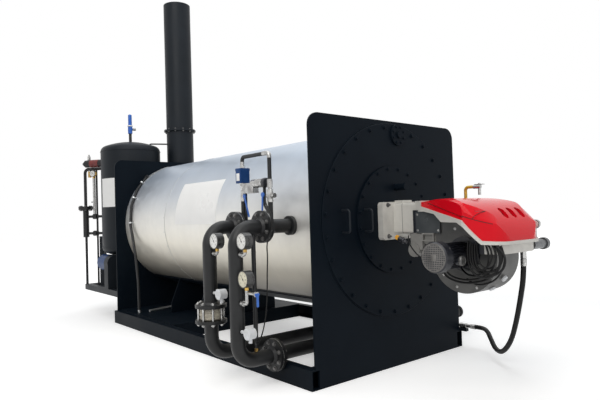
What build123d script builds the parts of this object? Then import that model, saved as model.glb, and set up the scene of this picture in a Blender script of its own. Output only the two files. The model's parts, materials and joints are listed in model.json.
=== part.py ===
from build123d import *
from math import atan2, cos, radians, sin, sqrt, tan
import os

os.makedirs("parts", exist_ok=True)

# A thermal fluid boiler on a skid, in millimetres.
# The origin is on the ground at the foot of the front plate, halfway through its thickness.
# +X points out of the boiler through the burner, and the pipework stands on the -Y side.

# Sizes of the skid and its two end plates
unit_length = 3050
plate_width = 1450
plate_height = 1650
plate_thickness = 12
plate_corner_radius = 80
rail_height = 120
rail_flange = 60
rail_wall = 7
rail_proud = 30
seat_gap = 0.3
cross_member_width = 60
cross_member_wall = 5
floor_thickness = 5
open_bay_length = 1860

# Sizes of the shell and what carries it
shell_axis_z = 985
shell_radius = 625
shell_wall = 100
shell_lap = 1.5
rear_course_length = 882
cradle_wall = 10
cradle_half_angle = 31
saddle_thickness = 16
saddle_half_width = 420
saddle_rib_height = 90

# Sizes of the bolted front covers
door_opening_radius = 560
door_ring_radius = 646
door_ring_thickness = 12
door_ring_bore_radius = 300
door_ring_edge = 3
burner_door_radius = 359
burner_door_thickness = 14
handle_bar = 13
handle_height = 140
handle_reach = 66
ring_handle_y = -479
door_handle_y = -292
blind_cover_radius = 73
blind_cover_thickness = 14
blind_boss_radius = 24
blind_cover_y = 70
blind_cover_z = 1558
sight_tube_radius = 23
sight_tube_length = 82
sight_tube_y = 20
sight_tube_z = 1199
sight_cap_radius = 28
sight_cap_length = 12

# Sizes of the oil pipework
pipe_radius = 44.45
elbow_radius = 114.3
flange_radius = 100
flange_thickness = 20
hub_length = 15
hub_radius = 58
front_pipe_x = -307
rear_pipe_x = -610
nozzle_z = 968
nozzle_flange_y = -853
riser_y = -1055
cross_pipe_z = 168
lower_flange_y = -790
cross_pipe_end_y = 1150
nozzle_collar_radius = 62
nozzle_collar_length = 24
valve_low_z = 388
valve_high_z = 466
valve_body_radius = 71
valve_seat_radius = 62
bypass_y = -925
bypass_radius = 14
bypass_stem_radius = 7
bypass_foot_z = 292
end_cap_radius = 50
end_cap_length = 30
end_cap_edge = 6

# Sizes of the instruments on the risers
gauge_radius = 50
gauge_depth = 48
rear_gauge_reach = 96
front_gauge_reach = 102
low_gauge_reach = 107
rear_gauge_z = 888
front_gauge_z = 892
low_gauge_z = 672
short_cock_drop = 30
long_cock_drop = 95
cock_radius = 10
cock_body_radius = 16
cock_branch_rise = 65
cock_branch_length = 106
head_radius = 31
head_depth = 50
front_head_z = 360
rear_head_z = 560
head_reach = 132
head_gland_radius = 11
head_gland_drop = 22

# Sizes of the small pipe bridge over the nozzles
bridge_y = -785
bridge_pipe_radius = 13
bridge_leg_radius = 16
bridge_top_z = 1432
bridge_bend_radius = 22
bridge_elbow_x = -371
bridge_elbow_radius = 15
left_valve_low_z = 1136
left_valve_high_z = 1210
left_valve_radius = 17
switch_box_low_z = 1257
switch_box_high_z = 1355
switch_box_width = 60
switch_box_depth = 76
switch_box_corner = 5
switch_union_radius = 18
switch_union_top_z = 1400
right_valve_low_z = 1120
right_valve_high_z = 1200
right_valve_radius = 20
right_union_low_z = 1212
right_union_high_z = 1265
right_pipe_top_z = 1400
impulse_radius = 8
left_impulse_x = -576
right_impulse_x = -370
impulse_knee_z = 1060
impulse_knee_rise = 40
pressure_body_low_x = -583
pressure_body_high_x = -461
pressure_body_low_z = 1186
pressure_body_high_z = 1251
pressure_body_depth = 60
pressure_body_corner = 10
pressure_head_end_x = -345
pressure_head_radius = 29
pressure_head_z = 1246
lever_length = 140
lever_width = 14
lever_thickness = 4
lever_top_z = 1170
lever_hub_radius = 15
left_lever_shift = 50
right_lever_shift = -10

# The cable that hangs from the pressure unit and ends at the bypass
cable_radius = 4
cable_nut_radius = 11
cable_nut_length = 17
cable_nut_z = 265
cable_points = [
    (-356, -785, 1216.7),
    (-356, -785, 1178),
    (-330, -808, 1135),
    (-273, -842, 1104),
    (-215, -856, 1050),
    (-198, -856, 986),
    (-199, -870, 926),
    (-191, -909, 872),
    (-186, -908, 786),
    (-179, -920, 702),
    (-182, -920, 620),
    (-190, -920, 530),
    (-205, -920, 440),
    (-228, -920, 370),
    (-255, -923, 305),
    (-286.5, -925, 265),
]

# Sizes of the conduit down the shell's side, whose runs are measured from the rear plate
conduit_radius = 13
conduit_top_run = 84
conduit_side_run = 184
conduit_foot_run = 351
conduit_top_angle = 130
conduit_gland_radius = 20
conduit_gland_length = 34
conduit_knees = [(289, 700), (344, 420)]
floor_pipe_radius = 12
floor_pipe_start = (404, -560)
floor_pipe_end = (284, -172)

# Sizes of the burner
burner_axis_z = 976
burner_flange_x = 50
burner_flange_thickness = 24
burner_flange_half_width = 168
burner_flange_height = 246
burner_flange_corner = 22
neck_end_x = 255
neck_half_width = 60
neck_low_z = 892
neck_high_z = 1088
neck_corner = 16
neck_cap_start_x = 75
neck_cap_end_x = 140
neck_cap_height = 20
neck_cap_half_width = 48
casing_high_z = 1040
casing_shoulder_x = 640
casing_slope_drop = 90
side_panel_start_x = 287
side_panel_end_x = 466
side_panel_low_z = 898
side_panel_high_z = 1029
side_panel_thickness = 15
inlet_start_x = 243
inlet_end_x = 333
inlet_low_z = 794
inlet_near_y = -105
inlet_far_y = 60
inlet_boss_x = 270
inlet_boss_z = 792
inlet_boss_radius = 43
inlet_boss_proud = 7
inlet_frame_end_x = 420
inlet_frame_low_z = 848
inlet_frame_depth = 18
inlet_frame_wall = 8
fan_axis_x = 620
fan_axis_z = 779
fan_case_radius = 205
fan_case_low_y = -90
fan_case_high_y = 140
fan_case_growth = 24
fan_case_rise = 20
motor_end_y = -385
motor_radius = 66
motor_flange_radius = 100
motor_flange_thickness = 14
terminal_box_radius = 25
terminal_box_reach = 96
terminal_box_y = -250
terminal_box_drop = 23
fan_cover_radius = 86
fan_cover_length = 62
fan_cover_edge = 7
hood_front_x = 335
hood_shoulder_x = 745
hood_rear_x = 925
hood_half_width = 292
hood_nose_half_width = 104
hood_front_z = 1088
hood_top_z = 1104
hood_nose_low_z = 1062
hood_shoulder_low_z = 978
hood_tail_x = 844
hood_tail_z = 868
crown_start_x = 560
crown_foot_z = 860
crown_flat_half_width = 130
crown_side_drop = 62
crown_slope_x = 800
crown_slope_z = 1050
crown_slope_rise = 8
rim_proud = 8
shroud_top_z = 1098
shroud_nose_half_width = 66
shroud_points = [(255, 1029), (363, 1031), (479, 1015), (549, 968), (700, 966), (750, 943), (844, 848),
                 (933, 842)]
louvre_x = 842
louvre_z = 1010
louvre_lean = 20
louvre_first_y = -44
louvre_pitch = 88
louvre_length = 92
louvre_width = 46
louvre_depth = 16
intake_front_x = 735
intake_low_z = 792
intake_low_y = -195
intake_inset = 12

# Sizes of the fuel line
hose_radius = 16
fuel_nut_clearance = 2
fuel_fitting_z = 160
fuel_fitting_end_x = 92
fuel_nipple_radius = 13
fuel_nut_radius = 18
fuel_nut_length = 52
fuel_bracket_reach = 60
burner_fitting_x = 799
burner_fitting_y = 240
burner_fitting_length = 56
gas_pipe_radius = 10
gas_pipe_x = 448
gas_pipe_y = 205
gas_pipe_top_z = 1176
gas_pipe_foot_drop = 85
gas_pipe_reach = 60
gas_pipe_bend_radius = 22
gas_cock_radius = 13
gas_cock_length = 48
gas_cock_stem_radius = 9
gas_cock_stem_x = 548
gas_cock_outlet = 52
gas_cock_lever = 62
gas_cock_lever_thickness = 5
filter_x = 850
filter_start_y = 235
filter_end_y = 400
filter_z = 818
filter_radius = 29
filter_cap_radius = 36
filter_cap_length = 28
filter_gauge_z = 936
filter_gauge_radius = 27
filter_gauge_depth = 22
filter_gauge_y = 300
filter_stem_radius = 7

# Sizes of the chimney
chimney_clearance = 62
chimney_y = 137
chimney_radius = 150
chimney_wall = 8
chimney_low_z = 760
ring_z = 2036
ring_radius = 178
ring_thickness = 8
chimney_top_z = 3495
flue_stub_z = 1150
flue_stub_radius = 125

# Sizes of the expansion vessel and its frame
tank_clearance = 92
tank_y = -375
tank_radius = 320
tank_wall = 8
tank_low_z = 738
tank_high_z = 1789
tank_head_depth = 112
tank_knuckle_radius = 64
leg_lap = 120
leg_angle_size = 60
leg_wall = 6
aux_beam_low_z = 250
aux_beam_size = 60
aux_beam_wall = 5
aux_near_y = -724
aux_far_y = 330
aux_end_overhang = 52
column_offset_x = 503
column_offset_y = 341
column_radius = 32
column_low_z = 850
column_high_z = 1165
column_flange_radius = 80
column_flange_thickness = 18
thin_pipe_radius = 14
column_pipe_radius = 17
column_pipe_top_z = 1628
column_bend_radius = 45
connection_low_z = 892
connection_high_z = 1083
tee_radius = 30
tee_length = 48
tee_reach = 478
drain_reach = 455
drain_radius = 11
drain_foot_z = 280
drain_bend_radius = 20
branch_z = 1690
branch_radius = 42
branch_reach = 592
branch_tip_reach = 630
branch_tip_radius = 14
relief_stem_radius = 16
relief_body_radius = 24
relief_bonnet_radius = 20
relief_collar_radius = 28
relief_collar_z = 2082
relief_collar_height = 10
relief_outlet_radius = 15
relief_outlet_reach = 62
relief_outlet_z = 2052
relief_low_z = 2000
relief_top_z = 2216
relief_edge = 8
pump_y = -640
pump_z = 575
pump_radius = 88
pump_motor_length = 210
pump_body_length = 105
pump_body_radius = 91
pump_overhang = 140
pump_base_height = 14
sight_glass_reach = 490
sight_glass_radius = 15
glass_handle_z = 1250
glass_handle_radius = 7
glass_handle_length = 55
vessel_gauge_reach = 481
vessel_gauge_z = 1573
vessel_gauge_radius = 37
vessel_gauge_depth = 25
branch_valve_reach = 550
branch_valve_radius = 17
branch_valve_height = 43
branch_stem_radius = 9
branch_stem_height = 20
air_valve_reach = 545
air_valve_radius = 18
air_valve_length = 78
link_pipe_radius = 8
link_pipe_reach = 205
link_pipe_z = 1886
link_bend_radius = 22

# Places that follow from the sizes
front_face = plate_thickness / 2
rear_face = front_face - unit_length
front_inner = front_face - plate_thickness
rear_inner = rear_face + plate_thickness
rail_outer_y = plate_width / 2 + rail_proud
rail_inner_y = rail_outer_y - rail_flange
shell_seam_x = rear_inner + rear_course_length
floor_front_x = front_inner - open_bay_length
door_face = front_face + door_ring_thickness
burner_door_face = door_face + burner_door_thickness
shell_inner_radius = shell_radius - shell_wall
aux_beam_top_z = aux_beam_low_z + aux_beam_size
chimney_x = rear_face - chimney_clearance - chimney_radius
tank_x = rear_face - tank_clearance - tank_radius
column_x = tank_x - column_offset_x
column_y = tank_y - column_offset_y
aux_rear_x = column_x - aux_end_overhang
fuel_fitting_y = plate_width / 2 + fuel_nut_radius + fuel_nut_clearance
casing_end_x = fan_axis_x + fan_case_radius


def pipe_route(points, bend_radius, pipe_size):
    """A round bar that follows straight runs joined by arcs."""
    with BuildPart() as run:
        with BuildLine() as route:
            if len(points) > 2:
                FilletPolyline(*points, radius=bend_radius)
            else:
                Line(*points)
        with BuildSketch(Plane(origin=route.line @ 0, z_dir=route.line % 0)):
            Circle(pipe_size)
        sweep()
    return run.part


def weld_neck_flange(centre, direction):
    """A flange whose joint face is at the centre and whose hub points along the direction."""
    with BuildPart() as ring:
        with BuildSketch(Plane(origin=centre, z_dir=direction)):
            Circle(flange_radius)
        extrude(amount=flange_thickness)
        with BuildSketch(Plane(origin=centre, z_dir=direction).offset(flange_thickness)):
            Circle(hub_radius)
        with BuildSketch(Plane(origin=centre, z_dir=direction).offset(flange_thickness + hub_length)):
            Circle(pipe_radius)
        loft()
    return ring.part


def disc(centre, direction, radius, length):
    """A round piece that starts at the centre and runs along the direction."""
    with BuildPart() as piece:
        with BuildSketch(Plane(origin=centre, z_dir=direction)):
            Circle(radius)
        extrude(amount=length)
    return piece.part


def cross_member_places():
    """The X of each beam across the skid, from rear to front."""
    half = cross_member_width / 2
    rear = rear_inner + half
    front = front_inner - half
    bay_edge = floor_front_x - half
    return [rear, (rear + bay_edge) / 2, bay_edge, front]


# Skid rails: channels with their webs outwards
with BuildPart() as skid_rails:
    for side in (-1, 1):
        with BuildSketch(Plane.YZ.offset(rear_face)):
            with Locations((side * (rail_outer_y - rail_flange / 2), rail_height / 2)):
                Rectangle(rail_flange, rail_height)
            with Locations((side * (rail_outer_y - rail_flange / 2 - rail_wall), rail_height / 2)):
                Rectangle(rail_flange, rail_height - 2 * rail_wall, mode=Mode.SUBTRACT)
        extrude(amount=unit_length)

with BuildPart() as skid_cross_members:
    for beam_x in cross_member_places():
        with BuildSketch(Plane.XZ.offset(-rail_inner_y)):
            with Locations((beam_x, rail_height / 2)):
                Rectangle(cross_member_width, rail_height)
                inner_width = cross_member_width - 2 * cross_member_wall
                Rectangle(inner_width, rail_height - 2 * cross_member_wall, mode=Mode.SUBTRACT)
        extrude(amount=2 * rail_inner_y)

with BuildPart() as skid_floor_plate:
    with BuildSketch(Plane.XY.offset(rail_height)):
        floor_length = floor_front_x - rear_inner
        with Locations((rear_inner + floor_length / 2, 0)):
            Rectangle(floor_length, 2 * rail_inner_y)
    extrude(amount=floor_thickness)


# End plates: rounded at the top and notched over the rails
def end_plate(face_x, opening_radius):
    with BuildPart() as plate:
        with BuildSketch(Plane.YZ.offset(face_x)) as outline:
            with Locations((0, plate_height / 2)):
                Rectangle(plate_width, plate_height)
            fillet(outline.vertices().group_by(Axis.Y)[-1], plate_corner_radius)
            notch = plate_width / 2 - rail_inner_y + seat_gap
            for side in (-1, 1):
                with Locations((side * (plate_width / 2 - notch / 2), rail_height / 2)):
                    Rectangle(notch, rail_height + 2 * seat_gap, mode=Mode.SUBTRACT)
            if opening_radius > 0:
                with Locations((0, shell_axis_z)):
                    Circle(opening_radius, mode=Mode.SUBTRACT)
        extrude(amount=plate_thickness)
    return plate


front_plate = end_plate(front_inner, door_opening_radius)
rear_plate = end_plate(rear_face, 0)


# Shell: two courses of cladding over insulation, one lapped over the other
def shell_course(start_x, end_x, radius):
    with BuildPart() as course:
        with BuildSketch(Plane.YZ.offset(start_x)):
            with Locations((0, shell_axis_z)):
                Circle(radius)
                Circle(shell_inner_radius, mode=Mode.SUBTRACT)
        extrude(amount=end_x - start_x)
    return course


shell_rear_course = shell_course(rear_inner, shell_seam_x, shell_radius - shell_lap)
shell_front_course = shell_course(shell_seam_x, front_inner, shell_radius)

cradle_inner = shell_radius + seat_gap
cradle_outer = cradle_inner + cradle_wall
with BuildPart() as shell_cradle:
    with BuildSketch(Plane.YZ.offset(rear_inner)):
        with BuildLine():
            start_angle = 270 - cradle_half_angle
            inner_arc = CenterArc((0, shell_axis_z), cradle_inner, start_angle, 2 * cradle_half_angle)
            outer_arc = CenterArc((0, shell_axis_z), cradle_outer, start_angle, 2 * cradle_half_angle)
            Line(inner_arc @ 0, outer_arc @ 0)
            Line(inner_arc @ 1, outer_arc @ 1)
        make_face()
    extrude(amount=front_inner - rear_inner)

saddle_low_z = (rail_height + floor_thickness, rail_height + floor_thickness, rail_height)
saddle_places = (cross_member_places()[1], cross_member_places()[2] - cross_member_width / 4,
                 cross_member_places()[3])
with BuildPart() as shell_saddles:
    for saddle_x, low_z in zip(saddle_places, saddle_low_z):
        with BuildSketch(Plane.YZ.offset(saddle_x - saddle_thickness / 2)):
            reach_z = shell_axis_z - sqrt(cradle_outer ** 2 - saddle_half_width ** 2)
            top_z = min(reach_z, shell_axis_z - cradle_outer * cos(radians(cradle_half_angle)))
            with BuildLine():
                half_top = sqrt(cradle_outer ** 2 - (shell_axis_z - top_z) ** 2)
                Polyline((-half_top, top_z), (-saddle_half_width, low_z + saddle_rib_height),
                         (-saddle_half_width, low_z), (saddle_half_width, low_z),
                         (saddle_half_width, low_z + saddle_rib_height), (half_top, top_z))
                sag = shell_axis_z - cradle_outer - seat_gap
                ThreePointArc((half_top, top_z), (0, sag), (-half_top, top_z))
            make_face()
        extrude(amount=saddle_thickness)

# Front covers
with BuildPart() as door_ring:
    with BuildSketch(Plane.YZ.offset(front_face)):
        with Locations((0, shell_axis_z)):
            Circle(door_ring_radius)
            Circle(door_ring_bore_radius, mode=Mode.SUBTRACT)
    extrude(amount=door_ring_thickness)
    chamfer(door_ring.edges().filter_by(GeomType.CIRCLE).sort_by(SortBy.RADIUS)[-1], door_ring_edge)

with BuildPart() as burner_door:
    with BuildSketch(Plane.YZ.offset(door_face)):
        with Locations((0, shell_axis_z)):
            Circle(burner_door_radius)
    extrude(amount=burner_door_thickness)


def door_handle(face_x, handle_y):
    half = handle_height / 2
    bar_x = face_x + handle_reach
    corners = [(face_x, handle_y, shell_axis_z + half), (bar_x, handle_y, shell_axis_z + half),
               (bar_x, handle_y, shell_axis_z - half), (face_x, handle_y, shell_axis_z - half)]
    return pipe_route(corners, 1.6 * handle_bar, handle_bar / 2)


with BuildPart() as door_handles:
    add(door_handle(door_face, ring_handle_y))
    add(door_handle(burner_door_face, door_handle_y))

with BuildPart() as blind_cover:
    add(disc((door_face, blind_cover_y, blind_cover_z), (1, 0, 0), blind_cover_radius,
             blind_cover_thickness))
    boss_x = door_face + blind_cover_thickness
    add(disc((boss_x, blind_cover_y, blind_cover_z), (1, 0, 0), blind_boss_radius, blind_cover_thickness))

with BuildPart() as sight_tube:
    add(disc((burner_door_face, sight_tube_y, sight_tube_z), (1, 0, 0), sight_tube_radius,
             sight_tube_length))
    cap_x = burner_door_face + sight_tube_length
    add(disc((cap_x, sight_tube_y, sight_tube_z), (1, 0, 0), sight_cap_radius, sight_cap_length))


# Oil nozzles on the shell, with their collars and first flanges
def nozzle(pipe_x):
    with BuildPart() as stub:
        start = (pipe_x, 0, nozzle_z)
        stub_length = -nozzle_flange_y - flange_thickness
        add(disc(start, (0, -1, 0), pipe_radius, stub_length))
        add(disc(start, (0, -1, 0), nozzle_collar_radius, shell_radius + nozzle_collar_length))
        with BuildSketch(Plane.YZ.offset(pipe_x - 2 * nozzle_collar_radius)):
            with Locations((0, shell_axis_z)):
                Circle(shell_radius + seat_gap)
        extrude(amount=4 * nozzle_collar_radius, mode=Mode.SUBTRACT)
        add(weld_neck_flange((pipe_x, nozzle_flange_y, nozzle_z), (0, 1, 0)))
    return stub.part


with BuildPart() as oil_nozzles:
    add(nozzle(front_pipe_x))
    add(nozzle(rear_pipe_x))

# Risers and the pipes that cross under the shell
with BuildPart() as front_riser:
    add(pipe_route([(front_pipe_x, nozzle_flange_y, nozzle_z), (front_pipe_x, riser_y, nozzle_z),
                    (front_pipe_x, riser_y, cross_pipe_z), (front_pipe_x, lower_flange_y, cross_pipe_z)],
                   elbow_radius, pipe_radius))
    add(weld_neck_flange((front_pipe_x, nozzle_flange_y, nozzle_z), (0, -1, 0)))
    add(weld_neck_flange((front_pipe_x, lower_flange_y, cross_pipe_z), (0, -1, 0)))

with BuildPart() as front_cross_pipe:
    cross_length = cross_pipe_end_y - lower_flange_y
    add(disc((front_pipe_x, lower_flange_y, cross_pipe_z), (0, 1, 0), pipe_radius, cross_length))
    add(weld_neck_flange((front_pipe_x, lower_flange_y, cross_pipe_z), (0, 1, 0)))

with BuildPart() as rear_riser:
    add(pipe_route([(rear_pipe_x, nozzle_flange_y, nozzle_z), (rear_pipe_x, riser_y, nozzle_z),
                    (rear_pipe_x, riser_y, valve_high_z)], elbow_radius, pipe_radius))
    add(weld_neck_flange((rear_pipe_x, nozzle_flange_y, nozzle_z), (0, -1, 0)))
    add(weld_neck_flange((rear_pipe_x, riser_y, valve_high_z), (0, 0, 1)))

with BuildPart() as rear_cross_pipe:
    add(pipe_route([(rear_pipe_x, riser_y, valve_low_z), (rear_pipe_x, riser_y, cross_pipe_z),
                    (rear_pipe_x, cross_pipe_end_y, cross_pipe_z)], elbow_radius, pipe_radius))
    add(weld_neck_flange((rear_pipe_x, riser_y, valve_low_z), (0, 0, -1)))

with BuildPart() as pipe_end_caps:
    for pipe_x in (front_pipe_x, rear_pipe_x):
        add(disc((pipe_x, cross_pipe_end_y, cross_pipe_z), (0, 1, 0), end_cap_radius, end_cap_length))
    chamfer(pipe_end_caps.faces().sort_by(Axis.Y)[-2:].edges(), end_cap_edge)

with BuildPart() as check_valve:
    with BuildSketch(Plane.XZ.offset(-riser_y)):
        with BuildLine():
            shoulder = valve_body_radius - valve_seat_radius
            Polyline((rear_pipe_x, valve_low_z), (rear_pipe_x + valve_seat_radius, valve_low_z),
                     (rear_pipe_x + valve_body_radius, valve_low_z + shoulder),
                     (rear_pipe_x + valve_body_radius, valve_high_z - shoulder),
                     (rear_pipe_x + valve_seat_radius, valve_high_z), (rear_pipe_x, valve_high_z),
                     close=True)
        make_face()
    revolve(axis=Axis((rear_pipe_x, riser_y, 0), (0, 0, 1)))

# Gauges on cocks that leave the risers towards the burner
gauge_places = ((rear_pipe_x, rear_gauge_reach, rear_gauge_z, short_cock_drop),
                (front_pipe_x, front_gauge_reach, front_gauge_z, short_cock_drop),
                (front_pipe_x, low_gauge_reach, low_gauge_z, long_cock_drop))


def gauge_cock(pipe_x, reach, gauge_z, drop):
    """A nipple out of the pipe wall, a cock body and a neck that rises to the gauge."""
    start_x = pipe_x + pipe_radius + seat_gap
    foot_z = gauge_z - gauge_radius - drop
    top_z = gauge_z - gauge_radius - seat_gap
    with BuildPart() as cock:
        add(pipe_route([(start_x, riser_y, foot_z), (pipe_x + reach, riser_y, foot_z),
                        (pipe_x + reach, riser_y, top_z)], 1.5 * cock_radius, cock_radius))
        add(disc((start_x + cock_radius, riser_y, foot_z), (1, 0, 0), cock_body_radius, 2 * cock_radius))
    return cock.part


with BuildPart() as pressure_gauges:
    for pipe_x, reach, gauge_z, drop in gauge_places:
        dial_back = (pipe_x + reach, riser_y + gauge_depth / 2, gauge_z)
        add(disc(dial_back, (0, -1, 0), gauge_radius, gauge_depth))

# The long cock under the low gauge has a branch with a hexagon nut at its end
cock_branch_x = front_pipe_x + low_gauge_reach
cock_branch_z = low_gauge_z - gauge_radius - long_cock_drop + cock_branch_rise
with BuildPart() as gauge_cocks:
    for pipe_x, reach, gauge_z, drop in gauge_places:
        add(gauge_cock(pipe_x, reach, gauge_z, drop))
    add(disc((cock_branch_x, riser_y, cock_branch_z), (1, 0, 0), 0.8 * cock_radius, cock_branch_length))
    nut_start_x = cock_branch_x + cock_branch_length - 2 * cock_radius
    with BuildSketch(Plane.YZ.offset(nut_start_x)):
        with Locations((riser_y, cock_branch_z)):
            RegularPolygon(cock_body_radius, 6)
    extrude(amount=2 * cock_radius)

with BuildPart() as sensor_heads:
    for pipe_x, head_z in ((front_pipe_x, front_head_z), (rear_pipe_x, rear_head_z)):
        head_x = pipe_x + head_reach
        stem_x = pipe_x + pipe_radius + seat_gap
        add(disc((stem_x, riser_y, head_z), (1, 0, 0), cock_radius, head_x - stem_x))
        add(disc((head_x, riser_y + head_depth / 2, head_z), (0, -1, 0), head_radius, head_depth))
        add(disc((head_x, riser_y, head_z), (0, 0, -1), head_gland_radius, head_radius + head_gland_drop))


# Small pipes that rise from the nozzles and meet in a bridge over them
def nozzle_seat(pipe_x):
    """What a pipe that stands on a nozzle leaves out: the nozzle's round top."""
    return disc((pipe_x, nozzle_flange_y + flange_thickness, nozzle_z), (0, 1, 0), pipe_radius + seat_gap,
                4 * nozzle_collar_radius)


def standing_pipe(pipe_x, pipe_z, top_z, radius):
    return disc((pipe_x, bridge_y, pipe_z), (0, 0, 1), radius, top_z - pipe_z)


with BuildPart() as bridge_pipes:
    add(pipe_route([(rear_pipe_x, bridge_y, switch_union_top_z), (rear_pipe_x, bridge_y, bridge_top_z),
                    (bridge_elbow_x, bridge_y, bridge_top_z)], bridge_bend_radius, bridge_pipe_radius))
    add(standing_pipe(front_pipe_x, right_union_high_z, right_pipe_top_z, bridge_pipe_radius))
    add(standing_pipe(front_pipe_x, nozzle_z, right_valve_low_z, bridge_leg_radius))
    add(standing_pipe(rear_pipe_x, nozzle_z, left_valve_low_z, bridge_leg_radius))
    add(standing_pipe(left_impulse_x, nozzle_z, pressure_body_low_z - seat_gap, impulse_radius))
    knee_x = front_pipe_x - bridge_leg_radius - impulse_radius - fuel_nut_clearance
    head_low_z = pressure_head_z - pressure_head_radius
    add(pipe_route([(knee_x, bridge_y, nozzle_z), (knee_x, bridge_y, impulse_knee_z),
                    (right_impulse_x, bridge_y, impulse_knee_z + impulse_knee_rise),
                    (right_impulse_x, bridge_y, head_low_z - seat_gap)],
                   1.5 * impulse_radius, impulse_radius))
    add(nozzle_seat(front_pipe_x), mode=Mode.SUBTRACT)
    add(nozzle_seat(rear_pipe_x), mode=Mode.SUBTRACT)
    # The bypass stands between the upper and the lower run of the front riser
    bypass_low_z = cross_pipe_z + pipe_radius + seat_gap
    bypass_high_z = nozzle_z - pipe_radius - seat_gap
    add(disc((front_pipe_x, bypass_y, bypass_foot_z), (0, 0, 1), bypass_radius,
             bypass_high_z - bypass_foot_z))
    add(disc((front_pipe_x, bypass_y, bypass_foot_z), (0, 0, -1), bypass_stem_radius,
             bypass_foot_z - bypass_low_z))
    add(disc((front_pipe_x, bypass_y, cable_nut_z), (1, 0, 0), cable_nut_radius, cable_nut_length))

with BuildPart() as flow_switch:
    with BuildSketch(Plane.XY.offset(switch_box_low_z)):
        with Locations((rear_pipe_x, bridge_y)):
            RectangleRounded(switch_box_width, switch_box_depth, switch_box_corner)
    extrude(amount=switch_box_high_z - switch_box_low_z)

# Plated valves and unions of the bridge
with BuildPart() as bridge_fittings:
    add(standing_pipe(rear_pipe_x, left_valve_low_z, left_valve_high_z, left_valve_radius))
    with BuildSketch(Plane.XY.offset(left_valve_high_z)):
        with Locations((rear_pipe_x, bridge_y)):
            Circle(0.7 * left_valve_radius)
    with BuildSketch(Plane.XY.offset(switch_box_low_z)):
        with Locations((rear_pipe_x, bridge_y)):
            Circle(1.4 * left_valve_radius)
    loft()
    with BuildSketch(Plane.XY.offset(switch_box_high_z)):
        with Locations((rear_pipe_x, bridge_y)):
            RegularPolygon(switch_union_radius, 6)
    extrude(amount=switch_union_radius)
    add(standing_pipe(rear_pipe_x, switch_box_high_z, switch_union_top_z, bridge_elbow_radius))
    add(pipe_route([(bridge_elbow_x, bridge_y, bridge_top_z), (front_pipe_x, bridge_y, bridge_top_z),
                    (front_pipe_x, bridge_y, right_pipe_top_z)], bridge_bend_radius, bridge_elbow_radius))
    with BuildSketch(Plane.XY.offset(right_union_low_z)):
        with Locations((front_pipe_x, bridge_y)):
            RegularPolygon(switch_union_radius, 6)
    extrude(amount=right_union_high_z - right_union_low_z)
    add(standing_pipe(front_pipe_x, right_valve_high_z, right_union_low_z, bridge_pipe_radius))
    add(standing_pipe(front_pipe_x, right_valve_low_z, right_valve_high_z, right_valve_radius))
    right_valve_z = (right_valve_low_z + right_valve_high_z) / 2
    boss_start_x = front_pipe_x - 1.3 * right_valve_radius
    add(disc((boss_start_x, bridge_y, right_valve_z), (1, 0, 0), bridge_elbow_radius,
             3.7 * right_valve_radius))

# Pressure unit on its two impulse pipes
with BuildPart() as pressure_unit:
    with BuildSketch(Plane.XY.offset(pressure_body_low_z)):
        with Locations(((pressure_body_low_x + pressure_body_high_x) / 2, bridge_y)):
            body_width = pressure_body_high_x - pressure_body_low_x
            RectangleRounded(body_width, pressure_body_depth, pressure_body_corner)
    extrude(amount=pressure_body_high_z - pressure_body_low_z)
    head_start_x = pressure_body_high_x - pressure_head_radius
    add(disc((head_start_x, bridge_y, pressure_head_z), (1, 0, 0), pressure_head_radius,
             pressure_head_end_x - head_start_x))


def hanging_lever(pipe_x, shift):
    """A flat lever on a round hub in front of an impulse pipe, whose foot stands off to one side."""
    hub_y = bridge_y - impulse_radius - seat_gap
    with BuildPart() as lever:
        add(disc((pipe_x, hub_y, lever_top_z), (0, -1, 0), lever_hub_radius, 2 * lever_thickness))
        with BuildSketch(Plane.XZ.offset(-hub_y + lever_thickness)):
            with BuildLine():
                Line((pipe_x, lever_top_z), (pipe_x + shift, lever_top_z - lever_length))
            trace(line_width=lever_width)
        extrude(amount=lever_thickness)
    return lever.part


with BuildPart() as control_levers:
    add(hanging_lever(left_impulse_x, left_lever_shift))
    add(hanging_lever(right_impulse_x, right_lever_shift))
    lever_x = cock_branch_x + cock_branch_length + seat_gap
    with BuildSketch(Plane.YZ.offset(lever_x)):
        with Locations((riser_y, cock_branch_z - lever_length / 4)):
            RectangleRounded(lever_width, lever_length / 2, lever_width / 3)
    extrude(amount=lever_thickness)

# Conduit that lies round the shell's side and runs down to the floor plate, and the pipe beyond it
conduit_seat = shell_radius - shell_lap + seat_gap
conduit_reach = conduit_seat + conduit_radius


def beside_shell(angle, reach):
    return (reach * cos(radians(angle)), shell_axis_z + reach * sin(radians(angle)))


with BuildPart() as shell_conduit:
    conduit_points = []
    conduit_top_x = rear_face + conduit_top_run
    for step in range(4):
        angle = conduit_top_angle + step * (180 - conduit_top_angle) / 3
        corner_reach = conduit_reach / cos(radians((180 - conduit_top_angle) / 6))
        shift = step * (conduit_side_run - conduit_top_run) / 3
        conduit_points.append((conduit_top_x + shift, *beside_shell(angle, corner_reach)))
    side_y = conduit_points[-1][1]
    foot_z = rail_height + floor_thickness + seat_gap
    conduit_points += [(rear_face + knee_run, side_y, knee_z) for knee_run, knee_z in conduit_knees]
    conduit_points.append((rear_face + conduit_foot_run, side_y, foot_z))
    add(pipe_route(conduit_points, 6 * conduit_radius, conduit_radius))
    gland_foot = (conduit_top_x, *beside_shell(conduit_top_angle, conduit_seat))
    outward = (0, cos(radians(conduit_top_angle)), sin(radians(conduit_top_angle)))
    add(disc(gland_foot, outward, conduit_gland_radius, conduit_gland_length))
    floor_pipe_z = rail_height + floor_thickness + floor_pipe_radius + seat_gap
    floor_pipe_ends = [(rear_face + run, y, floor_pipe_z) for run, y in (floor_pipe_start, floor_pipe_end)]
    add(pipe_route(floor_pipe_ends, 0, floor_pipe_radius))

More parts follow.
